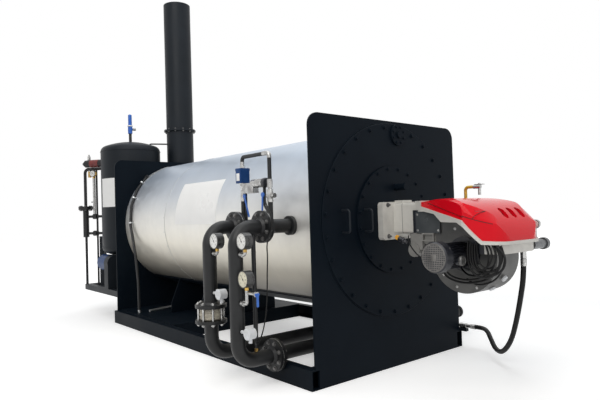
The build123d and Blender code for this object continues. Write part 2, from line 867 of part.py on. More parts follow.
# Burner: flange and neck, fan casing, motor, hood and intake
with BuildPart() as burner_flange:
    with BuildSketch(Plane.YZ.offset(burner_door_face)):
        with Locations((0, burner_axis_z)):
            RectangleRounded(2 * burner_flange_half_width, burner_flange_height, burner_flange_corner)
    extrude(amount=burner_flange_x + burner_flange_thickness - burner_door_face)

neck_start_x = burner_flange_x + burner_flange_thickness
with BuildPart() as burner_neck:
    with BuildSketch(Plane.YZ.offset(neck_start_x)):
        with Locations((0, (neck_low_z + neck_high_z) / 2)):
            RectangleRounded(2 * neck_half_width, neck_high_z - neck_low_z, neck_corner)
    extrude(amount=neck_end_x - neck_start_x)
    with BuildSketch(Plane.XY.offset(neck_high_z)):
        with Locations(((neck_cap_start_x + neck_cap_end_x) / 2, 0)):
            Rectangle(neck_cap_end_x - neck_cap_start_x, 2 * neck_cap_half_width)
    extrude(amount=neck_cap_height)

# The casing carries the fan's volute, a side panel and the box of the air damper with its frame
with BuildPart() as burner_casing:
    with BuildSketch(Plane.XZ.offset(-fan_case_high_y)):
        with BuildLine():
            fan_out = fan_case_radius + fan_case_growth
            Polyline((neck_end_x, neck_low_z), (neck_end_x, casing_high_z),
                     (casing_shoulder_x, casing_high_z), (casing_end_x, casing_high_z - casing_slope_drop),
                     (casing_end_x, fan_axis_z))
            ThreePointArc((casing_end_x, fan_axis_z), (fan_axis_x, fan_axis_z - fan_out),
                          (fan_axis_x - fan_out, fan_axis_z + fan_case_rise))
            Line((fan_axis_x - fan_out, fan_axis_z + fan_case_rise), (neck_end_x, neck_low_z))
        make_face()
    extrude(amount=fan_case_high_y - fan_case_low_y)
    with BuildSketch(Plane.XZ.offset(-fan_case_low_y)):
        panel_width = side_panel_end_x - side_panel_start_x
        panel_height = side_panel_high_z - side_panel_low_z
        with Locations((side_panel_start_x + panel_width / 2, side_panel_low_z + panel_height / 2)):
            Rectangle(panel_width, panel_height)
    extrude(amount=side_panel_thickness)
    with BuildSketch(Plane.XZ.offset(-inlet_far_y)):
        with Locations(((inlet_start_x + inlet_end_x) / 2, (inlet_low_z + neck_low_z) / 2)):
            Rectangle(inlet_end_x - inlet_start_x, neck_low_z - inlet_low_z)
    extrude(amount=inlet_far_y - inlet_near_y)
    add(disc((inlet_boss_x, inlet_far_y, inlet_boss_z), (0, -1, 0), inlet_boss_radius,
             inlet_far_y - inlet_near_y + inlet_boss_proud))
    with BuildSketch(Plane.XZ.offset(-fan_case_low_y)):
        frame_width = inlet_frame_end_x - inlet_end_x
        frame_height = side_panel_low_z - inlet_frame_low_z
        with Locations((inlet_end_x + frame_width / 2, inlet_frame_low_z + frame_height / 2)):
            Rectangle(frame_width, frame_height)
            Rectangle(frame_width - 2 * inlet_frame_wall, frame_height - 2 * inlet_frame_wall,
                      mode=Mode.SUBTRACT)
    extrude(amount=inlet_frame_depth)

with BuildPart() as burner_motor:
    motor_length = fan_case_low_y - motor_end_y - fan_cover_length
    add(disc((fan_axis_x, fan_case_low_y, fan_axis_z), (0, -1, 0), motor_radius, motor_length))
    add(disc((fan_axis_x, fan_case_low_y, fan_axis_z), (0, -1, 0), motor_flange_radius,
             motor_flange_thickness))
    add(disc((fan_axis_x, terminal_box_y, fan_axis_z - terminal_box_drop), (1, 0, 0), terminal_box_radius,
             terminal_box_reach))

with BuildPart() as motor_fan_cover:
    cover_start = motor_end_y + fan_cover_length
    add(disc((fan_axis_x, cover_start, fan_axis_z), (0, -1, 0), fan_cover_radius, fan_cover_length))
    chamfer(motor_fan_cover.faces().sort_by(Axis.Y)[0].edges(), fan_cover_edge)


# The hood's lower edge drops towards the rear, and its crown is a quarter of an ellipse
rim_points = [(hood_front_x, hood_nose_low_z), (hood_shoulder_x, hood_shoulder_low_z),
              (hood_tail_x, hood_tail_z), (hood_rear_x, crown_foot_z)]
hood_height = hood_top_z - intake_low_z
hood_length = hood_rear_x - neck_end_x


def hood_plan(margin, nose=()):
    """The hood from above: it widens from a narrow front to a rear with round corners."""
    corner = hood_rear_x - hood_shoulder_x
    side_points = [*nose, (hood_front_x, -hood_nose_half_width - margin),
                   (hood_shoulder_x, -hood_half_width - margin)]
    with BuildSketch(Plane.XY.offset(intake_low_z)) as plan:
        with BuildLine():
            side = Polyline((side_points[0][0], 0), *side_points)
            bend = RadiusArc(side @ 1, (hood_rear_x + margin, corner - hood_half_width), -corner)
            Line(bend @ 1, (hood_rear_x + margin, 0))
            mirror(about=Plane.XZ)
        make_face()
    return plan.sketch


def rounded_shoulders(plane, top, depth):
    """A section across the hood: flat in the middle, with an elliptic fall on each side."""
    foot = top - crown_side_drop
    slope = hood_half_width - crown_flat_half_width
    with BuildSketch(plane) as section:
        with BuildLine():
            side = Line((hood_half_width, foot - depth), (hood_half_width, foot))
            fall = EllipticalCenterArc((crown_flat_half_width, foot), slope, crown_side_drop,
                                       start_angle=0, arc_size=90)
            Line(fall @ 1, (0, top))
            Line((0, foot - depth), side @ 0)
            mirror(about=Plane.YZ)
        make_face()
    return section.sketch


with BuildPart() as burner_hood:
    with BuildSketch(Plane.XZ.offset(-hood_half_width)):
        with BuildLine():
            lower_edge = Polyline(*rim_points)
            crown = EllipticalCenterArc((crown_start_x, crown_foot_z), hood_rear_x - crown_start_x,
                                        hood_top_z - crown_foot_z, start_angle=0, arc_size=90)
            flat_top = Line(crown @ 1, (hood_front_x, hood_front_z))
            Line(flat_top @ 1, lower_edge @ 0)
        make_face()
    extrude(amount=2 * hood_half_width)
    extrude(hood_plan(0), amount=hood_height, mode=Mode.INTERSECT)
    level = Plane(origin=(neck_end_x, 0, 0), x_dir=(0, 1, 0), z_dir=(1, 0, 0))
    extrude(rounded_shoulders(level, hood_top_z, hood_height), amount=hood_length, mode=Mode.INTERSECT)
    slope_start = (crown_slope_x - hood_length / 2, 0, crown_slope_z + hood_length / 2)
    sloping = Plane(origin=slope_start, x_dir=(0, 1, 0), z_dir=(1, 0, -1))
    extrude(rounded_shoulders(sloping, crown_slope_rise, 3 * hood_height), amount=2 * hood_length,
            mode=Mode.INTERSECT)
    # Three air slots lie side by side across the rear slope
    for slot in range(3):
        slot_place = (louvre_x, louvre_first_y + slot * louvre_pitch, louvre_z)
        with BuildSketch(Plane(origin=slot_place, x_dir=(0.77, 0, -0.64), z_dir=(0.64, 0, 0.77))):
            SlotOverall(louvre_length, louvre_width, rotation=-louvre_lean)
        extrude(amount=louvre_depth, both=True, mode=Mode.SUBTRACT)
    add(burner_casing.part, mode=Mode.SUBTRACT)

with BuildPart() as burner_rim:
    with BuildSketch(Plane.XZ.offset(-hood_half_width - rim_proud)):
        with BuildLine():
            Polyline((neck_end_x, shroud_top_z), (hood_front_x, shroud_top_z), *rim_points[:-1],
                     (hood_rear_x, crown_foot_z), (hood_rear_x + rim_proud, crown_foot_z),
                     *reversed(shroud_points), close=True)
        make_face()
    extrude(amount=2 * (hood_half_width + rim_proud))
    shroud_nose = [(neck_end_x, -shroud_nose_half_width)]
    extrude(hood_plan(rim_proud, shroud_nose), amount=hood_height, mode=Mode.INTERSECT)
    add(burner_casing.part, mode=Mode.SUBTRACT)

with BuildPart() as burner_intake:
    extrude(hood_plan(-intake_inset), amount=hood_shoulder_low_z - intake_low_z)
    with BuildSketch(Plane.XY.offset(intake_low_z)):
        intake_length = hood_rear_x - intake_front_x
        intake_width = hood_half_width - intake_low_y
        with Locations((intake_front_x + intake_length / 2, intake_low_y + intake_width / 2)):
            Rectangle(intake_length, intake_width)
    extrude(amount=hood_height, mode=Mode.INTERSECT)
    with BuildSketch(Plane.XZ.offset(-hood_half_width)):
        with BuildLine():
            edge = Polyline(*shroud_points[4:])
            Polyline(edge @ 1, (hood_rear_x + rim_proud, hood_top_z), (shroud_points[4][0], hood_top_z),
                     edge @ 0)
        make_face()
    extrude(amount=2 * hood_half_width, mode=Mode.SUBTRACT)
    add(burner_casing.part, mode=Mode.SUBTRACT)

# Fuel fittings, hose and gas pipe
with BuildPart() as fuel_fitting:
    fitting_start_x = front_inner - fuel_bracket_reach
    add(disc((fitting_start_x, fuel_fitting_y, fuel_fitting_z), (1, 0, 0), fuel_nipple_radius,
             fuel_fitting_end_x - fitting_start_x))
    add(disc((front_face, fuel_fitting_y, fuel_fitting_z), (1, 0, 0), fuel_nut_radius, fuel_nut_length))

with BuildPart() as fuel_bracket:
    bracket_width = rail_outer_y - plate_width / 2 - seat_gap
    with BuildSketch(Plane.XY.offset(rail_height)):
        with Locations((front_face, rail_outer_y - bracket_width / 2)):
            Rectangle(2 * fuel_bracket_reach, bracket_width)
    extrude(amount=fuel_fitting_z - fuel_nut_radius - seat_gap - rail_height)

with BuildPart() as burner_fitting:
    add(disc((burner_fitting_x, burner_fitting_y, intake_low_z), (0, 0, -1), fuel_nut_radius,
             burner_fitting_length))
    # The fuel filter lies across under the hood, with a dial gauge on a stem over it
    add(disc((filter_x, filter_start_y, filter_z), (0, 1, 0), filter_radius, filter_end_y - filter_start_y))
    add(disc((filter_x, filter_end_y, filter_z), (0, -1, 0), filter_cap_radius, filter_cap_length))
    add(disc((filter_x, filter_gauge_y, filter_z), (0, 0, 1), filter_stem_radius,
             filter_gauge_z - filter_z))
    add(disc((filter_x, filter_gauge_y + filter_gauge_depth / 2, filter_gauge_z), (0, -1, 0),
             filter_gauge_radius, filter_gauge_depth))
    add(burner_intake.part, mode=Mode.SUBTRACT)

hose_points = [
    (fuel_fitting_end_x, fuel_fitting_y, fuel_fitting_z),
    (190, fuel_fitting_y, fuel_fitting_z),
    (285, 715, 125),
    (370, 650, 85),
    (455, 548, 90),
    (545, 450, 190),
    (660, 355, 390),
    (760, 275, 535),
    (burner_fitting_x, burner_fitting_y, 630),
    (burner_fitting_x, burner_fitting_y, intake_low_z - burner_fitting_length),
]


def route_radii(points):
    """The largest arc that each corner has room for."""
    radii = []
    for before, corner, after in zip(points, points[1:], points[2:]):
        run_in = Vector(*corner) - Vector(*before)
        run_out = Vector(*after) - Vector(*corner)
        half_turn = radians(run_in.get_angle(run_out) / 2)
        radii.append(0.45 * min(run_in.length, run_out.length) / tan(half_turn))
    return radii


hose_radii = route_radii(hose_points)
print("hose bend radii", [round(radius) for radius in hose_radii])
with BuildPart() as fuel_hose:
    with BuildLine() as hose_route:
        hose_path = FilletPolyline(*hose_points, radius=hose_radii)
    with BuildSketch(Plane(origin=hose_route.line @ 0, z_dir=hose_route.line % 0)):
        Circle(hose_radius)
    sweep()
print("hose length", round(hose_path.length))

cable_radii = route_radii(cable_points)
print("cable bend radii", [round(radius) for radius in cable_radii])
with BuildPart() as instrument_cable:
    with BuildLine() as cable_route:
        cable_path = FilletPolyline(*cable_points, radius=cable_radii)
    with BuildSketch(Plane(origin=cable_route.line @ 0, z_dir=cable_route.line % 0)):
        Circle(cable_radius)
    sweep()
print("cable length", round(cable_path.length))

with BuildPart() as gas_pipe:
    gas_foot_z = neck_high_z - gas_pipe_foot_drop
    gas_end_x = gas_pipe_x + gas_pipe_reach
    add(pipe_route([(gas_pipe_x, fan_case_high_y, gas_foot_z), (gas_pipe_x, gas_pipe_y, gas_foot_z),
                    (gas_pipe_x, gas_pipe_y, gas_pipe_top_z), (gas_end_x, gas_pipe_y, gas_pipe_top_z)],
                   gas_pipe_bend_radius, gas_pipe_radius))
    add(disc((gas_end_x, gas_pipe_y, gas_pipe_top_z), (1, 0, 0), gas_cock_radius, gas_cock_length))
    add(disc((gas_cock_stem_x, gas_pipe_y, gas_pipe_top_z), (0, 0, -1), gas_cock_stem_radius,
             gas_cock_outlet))
    with BuildSketch(Plane.XY.offset(gas_pipe_top_z + gas_cock_radius - gas_cock_lever_thickness / 2)):
        with Locations((gas_cock_stem_x, gas_pipe_y)):
            Rectangle(gas_cock_lever, 1.6 * gas_cock_radius)
    extrude(amount=gas_cock_lever_thickness)

# Chimney: a base with its flue stub and the stack, bolted together at a pair of rings
with BuildPart() as chimney_base:
    with BuildSketch(Plane.XY.offset(chimney_low_z)):
        with Locations((chimney_x, chimney_y)):
            Circle(chimney_radius)
    extrude(amount=ring_z - chimney_low_z)
    add(disc((chimney_x, chimney_y, ring_z), (0, 0, -1), ring_radius, ring_thickness))
    add(disc((rear_face, chimney_y, flue_stub_z), (-1, 0, 0), flue_stub_radius, rear_face - chimney_x))
    with BuildSketch(Plane.XY.offset(ring_z)):
        with Locations((chimney_x, chimney_y)):
            Circle(chimney_radius - chimney_wall)
    extrude(amount=chimney_low_z + chimney_wall - ring_z, mode=Mode.SUBTRACT)

with BuildPart() as chimney_stack:
    with BuildSketch(Plane.XY.offset(ring_z)):
        with Locations((chimney_x, chimney_y)):
            Circle(ring_radius)
    extrude(amount=ring_thickness)
    with BuildSketch(Plane.XY.offset(ring_z)):
        with Locations((chimney_x, chimney_y)):
            Circle(chimney_radius)
    extrude(amount=chimney_top_z - ring_z)
    with BuildSketch(Plane.XY.offset(ring_z)):
        with Locations((chimney_x, chimney_y)):
            Circle(chimney_radius - chimney_wall)
    extrude(amount=chimney_top_z - ring_z, mode=Mode.SUBTRACT)

# Expansion vessel: a shell with a dished head at each end, on angle legs
with BuildPart() as tank_shell:
    with BuildSketch(Plane.XY.offset(tank_low_z)):
        with Locations((tank_x, tank_y)):
            Circle(tank_radius)
            Circle(tank_radius - tank_wall, mode=Mode.SUBTRACT)
    extrude(amount=tank_high_z - tank_low_z)


def head_solid(rim_z, upward, margin):
    """A domed solid with a crown arc and a tighter knuckle, revolved about the vessel's axis."""
    rim_radius = tank_radius - margin
    depth = tank_head_depth - margin
    knuckle = tank_knuckle_radius - margin
    knuckle_centre = rim_radius - knuckle
    crown = (knuckle_centre ** 2 + depth ** 2 - knuckle ** 2) / (2 * (depth - knuckle))
    tangent_angle = atan2(crown - depth, knuckle_centre)
    crown_angle = (radians(90) + tangent_angle) / 2
    knuckle_end = (knuckle_centre + knuckle * cos(tangent_angle), knuckle * sin(tangent_angle))
    knuckle_middle = (knuckle_centre + knuckle * cos(tangent_angle / 2), knuckle * sin(tangent_angle / 2))
    crown_middle = (crown * cos(crown_angle), depth - crown + crown * sin(crown_angle))
    with BuildPart() as dome:
        with BuildSketch(Plane(origin=(tank_x, tank_y, rim_z), x_dir=(1, 0, 0), z_dir=(0, -upward, 0))):
            with BuildLine():
                ThreePointArc((rim_radius, 0), knuckle_middle, knuckle_end)
                ThreePointArc(knuckle_end, crown_middle, (0, depth))
                Polyline((0, depth), (0, 0), (rim_radius, 0))
            make_face()
        revolve(axis=Axis((tank_x, tank_y, rim_z), (0, 0, 1)))
    return dome.part


def dished_head(rim_z, upward):
    with BuildPart() as head:
        add(head_solid(rim_z, upward, 0))
        add(head_solid(rim_z, upward, tank_wall), mode=Mode.SUBTRACT)
    return head


tank_top_head = dished_head(tank_high_z, 1)
tank_bottom_head = dished_head(tank_low_z, -1)

leg_angles = (45, 135, 225, 315)
with BuildPart() as tank_legs:
    for leg_angle in leg_angles:
        outward = (cos(radians(leg_angle)), sin(radians(leg_angle)), 0)
        leg_plane = Plane(origin=(tank_x, tank_y, aux_beam_top_z), x_dir=outward, z_dir=(0, 0, 1))
        with BuildSketch(leg_plane):
            with Locations((tank_radius + seat_gap + leg_wall / 2, 0)):
                Rectangle(leg_wall, leg_angle_size)
            with Locations((tank_radius + seat_gap + leg_wall + leg_angle_size / 2, 0)):
                Rectangle(leg_angle_size, leg_wall)
        extrude(amount=tank_low_z + leg_lap - aux_beam_top_z)


# Frame behind the rear plate that carries the vessel
def square_beam(start, end, x_dir):
    with BuildPart() as beam:
        direction = Vector(*end) - Vector(*start)
        with BuildSketch(Plane(origin=start, x_dir=x_dir, z_dir=direction.normalized())):
            Rectangle(aux_beam_size, aux_beam_size)
            bore_size = aux_beam_size - 2 * aux_beam_wall
            Rectangle(bore_size, bore_size, mode=Mode.SUBTRACT)
        extrude(amount=direction.length)
    return beam.part


beam_mid_z = aux_beam_low_z + aux_beam_size / 2
with BuildPart() as aux_long_beams:
    for beam_y in (aux_near_y + aux_beam_size / 2, aux_far_y - aux_beam_size / 2):
        add(square_beam((rear_face, beam_y, beam_mid_z), (aux_rear_x, beam_y, beam_mid_z), (0, 0, 1)))

with BuildPart() as aux_cross_beams:
    leg_reach = (tank_radius + leg_angle_size / 2) * cos(radians(45))
    beam_near_y = aux_near_y + aux_beam_size
    beam_far_y = aux_far_y - aux_beam_size
    for beam_x in (rear_face - aux_beam_size / 2, tank_x + leg_reach, tank_x - leg_reach,
                   aux_rear_x + aux_beam_size / 2):
        add(square_beam((beam_x, beam_near_y, beam_mid_z), (beam_x, beam_far_y, beam_mid_z), (0, 0, 1)))

# Level column beside the vessel, with its pipes
to_tank = Vector(tank_x - column_x, tank_y - column_y, 0)
to_tank_unit = to_tank.normalized()
to_front = Vector(to_tank_unit.Y, -to_tank_unit.X, 0)


def beside_tank(reach, height, forward=0):
    """A place on the line from the vessel's axis to the column, or in front of that line."""
    return tuple(Vector(tank_x, tank_y, height) - to_tank_unit * reach + to_front * forward)


def trim_to_tank():
    with BuildSketch(Plane.XY.offset(tank_low_z - tank_head_depth)) as outline:
        with Locations((tank_x, tank_y)):
            Circle(tank_radius + seat_gap)
    return outline.sketch


trim_height = tank_high_z - tank_low_z + 2 * tank_head_depth
with BuildPart() as level_column:
    add(disc((column_x, column_y, aux_beam_top_z), (0, 0, 1), thin_pipe_radius,
             column_low_z - aux_beam_top_z))
    add(disc((column_x, column_y, column_low_z), (0, 0, 1), column_radius, column_high_z - column_low_z))
    add(disc((column_x, column_y, column_high_z), (0, 0, 1), column_flange_radius, column_flange_thickness))

with BuildPart() as column_connections:
    for connection_z in (connection_low_z, connection_high_z):
        start = (column_x, column_y, connection_z)
        add(disc(start, tuple(to_tank_unit), thin_pipe_radius, to_tank.length - tank_radius / 2))
        tee_start = beside_tank(tee_reach + tee_length / 2, connection_z)
        add(disc(tee_start, tuple(to_tank_unit), tee_radius, tee_length))
    # A drain drops from the top pipe and turns into the near beam of the frame
    drain_top_z = column_pipe_top_z - column_pipe_radius - seat_gap
    drain_x, drain_y, drain_z = beside_tank(drain_reach, drain_foot_z)
    drain_end = (drain_x, aux_near_y + aux_beam_size + seat_gap, drain_foot_z)
    add(pipe_route([(drain_x, drain_y, drain_top_z), (drain_x, drain_y, drain_z), drain_end],
                   drain_bend_radius, drain_radius))
    # A wide branch with a reduced end leaves the vessel over the top pipe
    add(disc(beside_tank(branch_reach, branch_z), tuple(to_tank_unit), branch_radius,
             branch_reach - tank_radius / 2))
    with BuildSketch(Plane(origin=beside_tank(branch_reach, branch_z), z_dir=-to_tank_unit)):
        Circle(branch_radius)
    with BuildSketch(Plane(origin=beside_tank(branch_tip_reach, branch_z), z_dir=-to_tank_unit)):
        Circle(branch_tip_radius)
    loft()
    extrude(trim_to_tank(), amount=trim_height, mode=Mode.SUBTRACT)
    with BuildSketch(Plane.XY.offset(column_low_z)):
        with Locations((column_x, column_y)):
            Circle(column_radius + seat_gap)
    extrude(amount=column_high_z - column_low_z, mode=Mode.SUBTRACT)
    # A thin pipe links the vessel's head with the chimney
    to_chimney = Vector(chimney_x - tank_x, chimney_y - tank_y, 0)
    link_foot = Vector(tank_x, tank_y, tank_high_z) + to_chimney.normalized() * link_pipe_reach
    link_corner = (link_foot.X, link_foot.Y, link_pipe_z)
    link_pipe = pipe_route([tuple(link_foot), link_corner, (chimney_x, chimney_y, link_pipe_z)],
                           link_bend_radius, link_pipe_radius)
    link_pipe -= head_solid(tank_high_z, 1, -seat_gap)
    link_pipe -= disc((chimney_x, chimney_y, tank_high_z), (0, 0, 1), chimney_radius + seat_gap,
                      2 * tank_head_depth)
    add(link_pipe)

# Plated fittings between the vessel and the column
with BuildPart() as tank_fittings:
    glass_low_z = connection_high_z + tee_radius + seat_gap
    add(disc(beside_tank(sight_glass_reach, glass_low_z), (0, 0, 1), sight_glass_radius,
             drain_top_z - glass_low_z))
    handle_start = beside_tank(sight_glass_reach - sight_glass_radius, glass_handle_z)
    add(disc(handle_start, tuple(-to_tank_unit), glass_handle_radius, glass_handle_length))
    gauge_back = beside_tank(vessel_gauge_reach, vessel_gauge_z, sight_glass_radius - seat_gap)
    add(disc(gauge_back, tuple(to_front), vessel_gauge_radius, vessel_gauge_depth))
    valve_foot_z = branch_z + branch_radius + seat_gap
    add(disc(beside_tank(branch_valve_reach, valve_foot_z), (0, 0, 1), branch_valve_radius,
             branch_valve_height))
    stem_foot_z = valve_foot_z + branch_valve_height
    add(disc(beside_tank(branch_valve_reach, stem_foot_z), (0, 0, 1), branch_stem_radius,
             branch_stem_height))
    add(disc(beside_tank(air_valve_reach, drain_top_z), (0, 0, -1), air_valve_radius, air_valve_length))

with BuildPart() as column_top_pipe:
    flange_top_z = column_high_z + column_flange_thickness
    add(disc((column_x, column_y, flange_top_z), (0, 0, 1), column_flange_radius, column_flange_thickness))
    end = Vector(column_x, column_y, column_pipe_top_z) + to_tank_unit * (to_tank.length - tank_radius / 2)
    add(pipe_route([(column_x, column_y, flange_top_z), (column_x, column_y, column_pipe_top_z), tuple(end)],
                   column_bend_radius, column_pipe_radius))
    extrude(trim_to_tank(), amount=trim_height, mode=Mode.SUBTRACT)

with BuildPart() as relief_valve:
    head_top_z = tank_high_z + tank_head_depth + seat_gap
    add(disc((tank_x, tank_y, head_top_z), (0, 0, 1), relief_stem_radius, relief_low_z - head_top_z))
    add(disc((tank_x, tank_y, relief_low_z), (0, 0, 1), relief_body_radius, relief_collar_z - relief_low_z))
    add(disc((tank_x, tank_y, relief_collar_z), (0, 0, 1), relief_bonnet_radius,
             relief_top_z - relief_collar_z))
    chamfer(relief_valve.faces().sort_by(Axis.Z)[-1].edges(), relief_edge)
    add(disc((tank_x, tank_y, relief_collar_z), (0, 0, 1), relief_collar_radius, relief_collar_height))
    add(disc((tank_x, tank_y, relief_outlet_z), (0, 1, 0), relief_outlet_radius, relief_outlet_reach))

with BuildPart() as pump_motor:
    pump_start_x = tank_x - pump_overhang
    pump_end_x = pump_start_x + pump_motor_length
    add(disc((pump_start_x, pump_y, pump_z), (1, 0, 0), pump_radius, pump_end_x - pump_start_x))

with BuildPart() as pump_body:
    add(disc((pump_end_x, pump_y, pump_z), (1, 0, 0), pump_body_radius, pump_body_length))
    with BuildSketch(Plane.XY.offset(aux_beam_top_z)):
        with Locations((pump_end_x + pump_body_length / 2, pump_y)):
            Rectangle(pump_body_length, 2 * pump_radius)
    extrude(amount=pump_z - aux_beam_top_z)
    with BuildSketch(Plane.XY.offset(aux_beam_top_z)):
        with Locations(((pump_start_x + pump_end_x) / 2, pump_y)):
            Rectangle(pump_end_x - pump_start_x, 2 * pump_radius)
    extrude(amount=pump_base_height)

pieces = {
    "skid_rails": skid_rails,
    "skid_cross_members": skid_cross_members,
    "skid_floor_plate": skid_floor_plate,
    "front_plate": front_plate,
    "rear_plate": rear_plate,
    "shell_rear_course": shell_rear_course,
    "shell_front_course": shell_front_course,
    "shell_cradle": shell_cradle,
    "shell_saddles": shell_saddles,
    "door_ring": door_ring,
    "burner_door": burner_door,
    "door_handles": door_handles,
    "blind_cover": blind_cover,
    "sight_tube": sight_tube,
    "oil_nozzles": oil_nozzles,
    "front_riser": front_riser,
    "front_cross_pipe": front_cross_pipe,
    "rear_riser": rear_riser,
    "rear_cross_pipe": rear_cross_pipe,
    "pipe_end_caps": pipe_end_caps,
    "check_valve": check_valve,
    "pressure_gauges": pressure_gauges,
    "gauge_cocks": gauge_cocks,
    "sensor_heads": sensor_heads,
    "bridge_pipes": bridge_pipes,
    "flow_switch": flow_switch,
    "bridge_fittings": bridge_fittings,
    "pressure_unit": pressure_unit,
    "control_levers": control_levers,
    "instrument_cable": instrument_cable,
    "shell_conduit": shell_conduit,
    "burner_flange": burner_flange,
    "burner_neck": burner_neck,
    "burner_casing": burner_casing,
    "burner_motor": burner_motor,
    "motor_fan_cover": motor_fan_cover,
    "burner_hood": burner_hood,
    "burner_rim": burner_rim,
    "burner_intake": burner_intake,
    "fuel_fitting": fuel_fitting,
    "fuel_bracket": fuel_bracket,
    "burner_fitting": burner_fitting,
    "fuel_hose": fuel_hose,
    "gas_pipe": gas_pipe,
    "chimney_base": chimney_base,
    "chimney_stack": chimney_stack,
    "tank_shell": tank_shell,
    "tank_top_head": tank_top_head,
    "tank_bottom_head": tank_bottom_head,
    "tank_legs": tank_legs,
    "aux_long_beams": aux_long_beams,
    "aux_cross_beams": aux_cross_beams,
    "level_column": level_column,
    "column_connections": column_connections,
    "column_top_pipe": column_top_pipe,
    "tank_fittings": tank_fittings,
    "relief_valve": relief_valve,
    "pump_motor": pump_motor,
    "pump_body": pump_body,
}
for name, piece in pieces.items():
    piece.part.label = name
    export_step(piece.part, f"parts/{name}.step")
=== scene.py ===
import json
import math
import random

import bpy
from mathutils import Matrix, Vector


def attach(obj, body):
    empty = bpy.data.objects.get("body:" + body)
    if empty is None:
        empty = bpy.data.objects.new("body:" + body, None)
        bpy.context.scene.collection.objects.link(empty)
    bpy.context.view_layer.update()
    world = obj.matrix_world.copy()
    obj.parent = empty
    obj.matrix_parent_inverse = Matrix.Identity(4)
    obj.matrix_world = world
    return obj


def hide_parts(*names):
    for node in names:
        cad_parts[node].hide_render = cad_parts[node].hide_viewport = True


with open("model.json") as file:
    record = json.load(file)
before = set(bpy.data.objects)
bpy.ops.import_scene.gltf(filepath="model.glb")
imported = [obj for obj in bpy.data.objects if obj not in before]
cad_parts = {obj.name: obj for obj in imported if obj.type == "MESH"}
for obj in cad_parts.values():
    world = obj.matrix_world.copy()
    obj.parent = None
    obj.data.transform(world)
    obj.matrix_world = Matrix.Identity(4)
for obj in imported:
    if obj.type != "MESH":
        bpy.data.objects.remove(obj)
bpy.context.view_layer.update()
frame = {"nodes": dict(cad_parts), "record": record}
print("frame loaded:", len(frame["nodes"]), "nodes")


# Materials
def newMaterial(name):
    material = bpy.data.materials.new(name)
    material.use_nodes = True
    nodes = material.node_tree.nodes
    nodes.clear()
    output = nodes.new("ShaderNodeOutputMaterial")
    shader = nodes.new("ShaderNodeBsdfPrincipled")
    material.node_tree.links.new(shader.outputs["BSDF"], output.inputs["Surface"])
    return material, shader


def addNoise(material, scale, detail, stretch=(1, 1, 1)):
    nodes = material.node_tree.nodes
    links = material.node_tree.links
    place = nodes.new("ShaderNodeTexCoord")
    mapping = nodes.new("ShaderNodeMapping")
    mapping.inputs["Scale"].default_value = stretch
    noise = nodes.new("ShaderNodeTexNoise")
    noise.inputs["Scale"].default_value = scale
    noise.inputs["Detail"].default_value = detail
    links.new(place.outputs["Object"], mapping.inputs["Vector"])
    links.new(mapping.outputs["Vector"], noise.inputs["Vector"])
    return noise.outputs["Fac"]


def addRange(material, value, low, high, newLow, newHigh):
    rangeNode = material.node_tree.nodes.new("ShaderNodeMapRange")
    rangeNode.inputs["From Min"].default_value = low
    rangeNode.inputs["From Max"].default_value = high
    rangeNode.inputs["To Min"].default_value = newLow
    rangeNode.inputs["To Max"].default_value = newHigh
    material.node_tree.links.new(value, rangeNode.inputs["Value"])
    return rangeNode.outputs["Result"]


def addMix(material, factor, first, second):
    links = material.node_tree.links
    mix = material.node_tree.nodes.new("ShaderNodeMix")
    mix.data_type = "RGBA"
    links.new(factor, mix.inputs[0])
    for socket, colour in ((mix.inputs[6], first), (mix.inputs[7], second)):
        if isinstance(colour, tuple):
            socket.default_value = (*colour, 1)
        else:
            links.new(colour, socket)
    return mix.outputs[2]


# From a value towards a goal, by a factor
def addBlend(material, factor, value, goal):
    mix = material.node_tree.nodes.new("ShaderNodeMix")
    mix.data_type = "FLOAT"
    material.node_tree.links.new(factor, mix.inputs[0])
    material.node_tree.links.new(value, mix.inputs[2])
    mix.inputs[3].default_value = goal
    return mix.outputs[0]


def addMath(material, operation, first, second):
    node = material.node_tree.nodes.new("ShaderNodeMath")
    node.operation = operation
    material.node_tree.links.new(first, node.inputs[0])
    material.node_tree.links.new(second, node.inputs[1])
    return node.outputs["Value"]


def objectAxes(material):
    nodes = material.node_tree.nodes
    coordinate = nodes.new("ShaderNodeTexCoord")
    parts = nodes.new("ShaderNodeSeparateXYZ")
    material.node_tree.links.new(coordinate.outputs["Object"], parts.inputs["Vector"])
    return parts.outputs


# 0 below a plane across the object, 1 above it
def addStep(material, axis, place, soft=0.0005):
    return addRange(material, objectAxes(material)[axis], place - soft, place + soft, 0, 1)


def addBump(material, shader, height, strength, distance):
    bump = material.node_tree.nodes.new("ShaderNodeBump")
    bump.inputs["Strength"].default_value = strength
    bump.inputs["Distance"].default_value = distance
    material.node_tree.links.new(height, bump.inputs["Height"])
    material.node_tree.links.new(bump.outputs["Normal"], shader.inputs["Normal"])


# Cloudy wear and a fine grain, as every painted or bare surface has them
wear = {"cloudDetail": 4, "grainDetail": 2, "wornRange": (0.38, 0.66), "roughRange": (0.3, 0.7),
        "grainDepth": 0.0006}


def addWear(material, look):
    cloud = addNoise(material, look["cloudScale"], wear["cloudDetail"])
    grain = addNoise(material, look["grainScale"], wear["grainDetail"])
    blend = addRange(material, cloud, *wear["wornRange"], 0, 1)
    colour = addMix(material, blend, look["colour"], look["worn"])
    rough = addRange(material, cloud, *wear["roughRange"], look["smoothest"], look["roughest"])
    return cloud, grain, blend, colour, rough


def closeMaterial(material, shader, look, colour, rough, grain):
    material.node_tree.links.new(colour, shader.inputs["Base Color"])
    material.node_tree.links.new(rough, shader.inputs["Roughness"])
    shader.inputs["Specular IOR Level"].default_value = look["specular"]
    addBump(material, shader, grain, look["bump"], wear["grainDepth"])
    return material


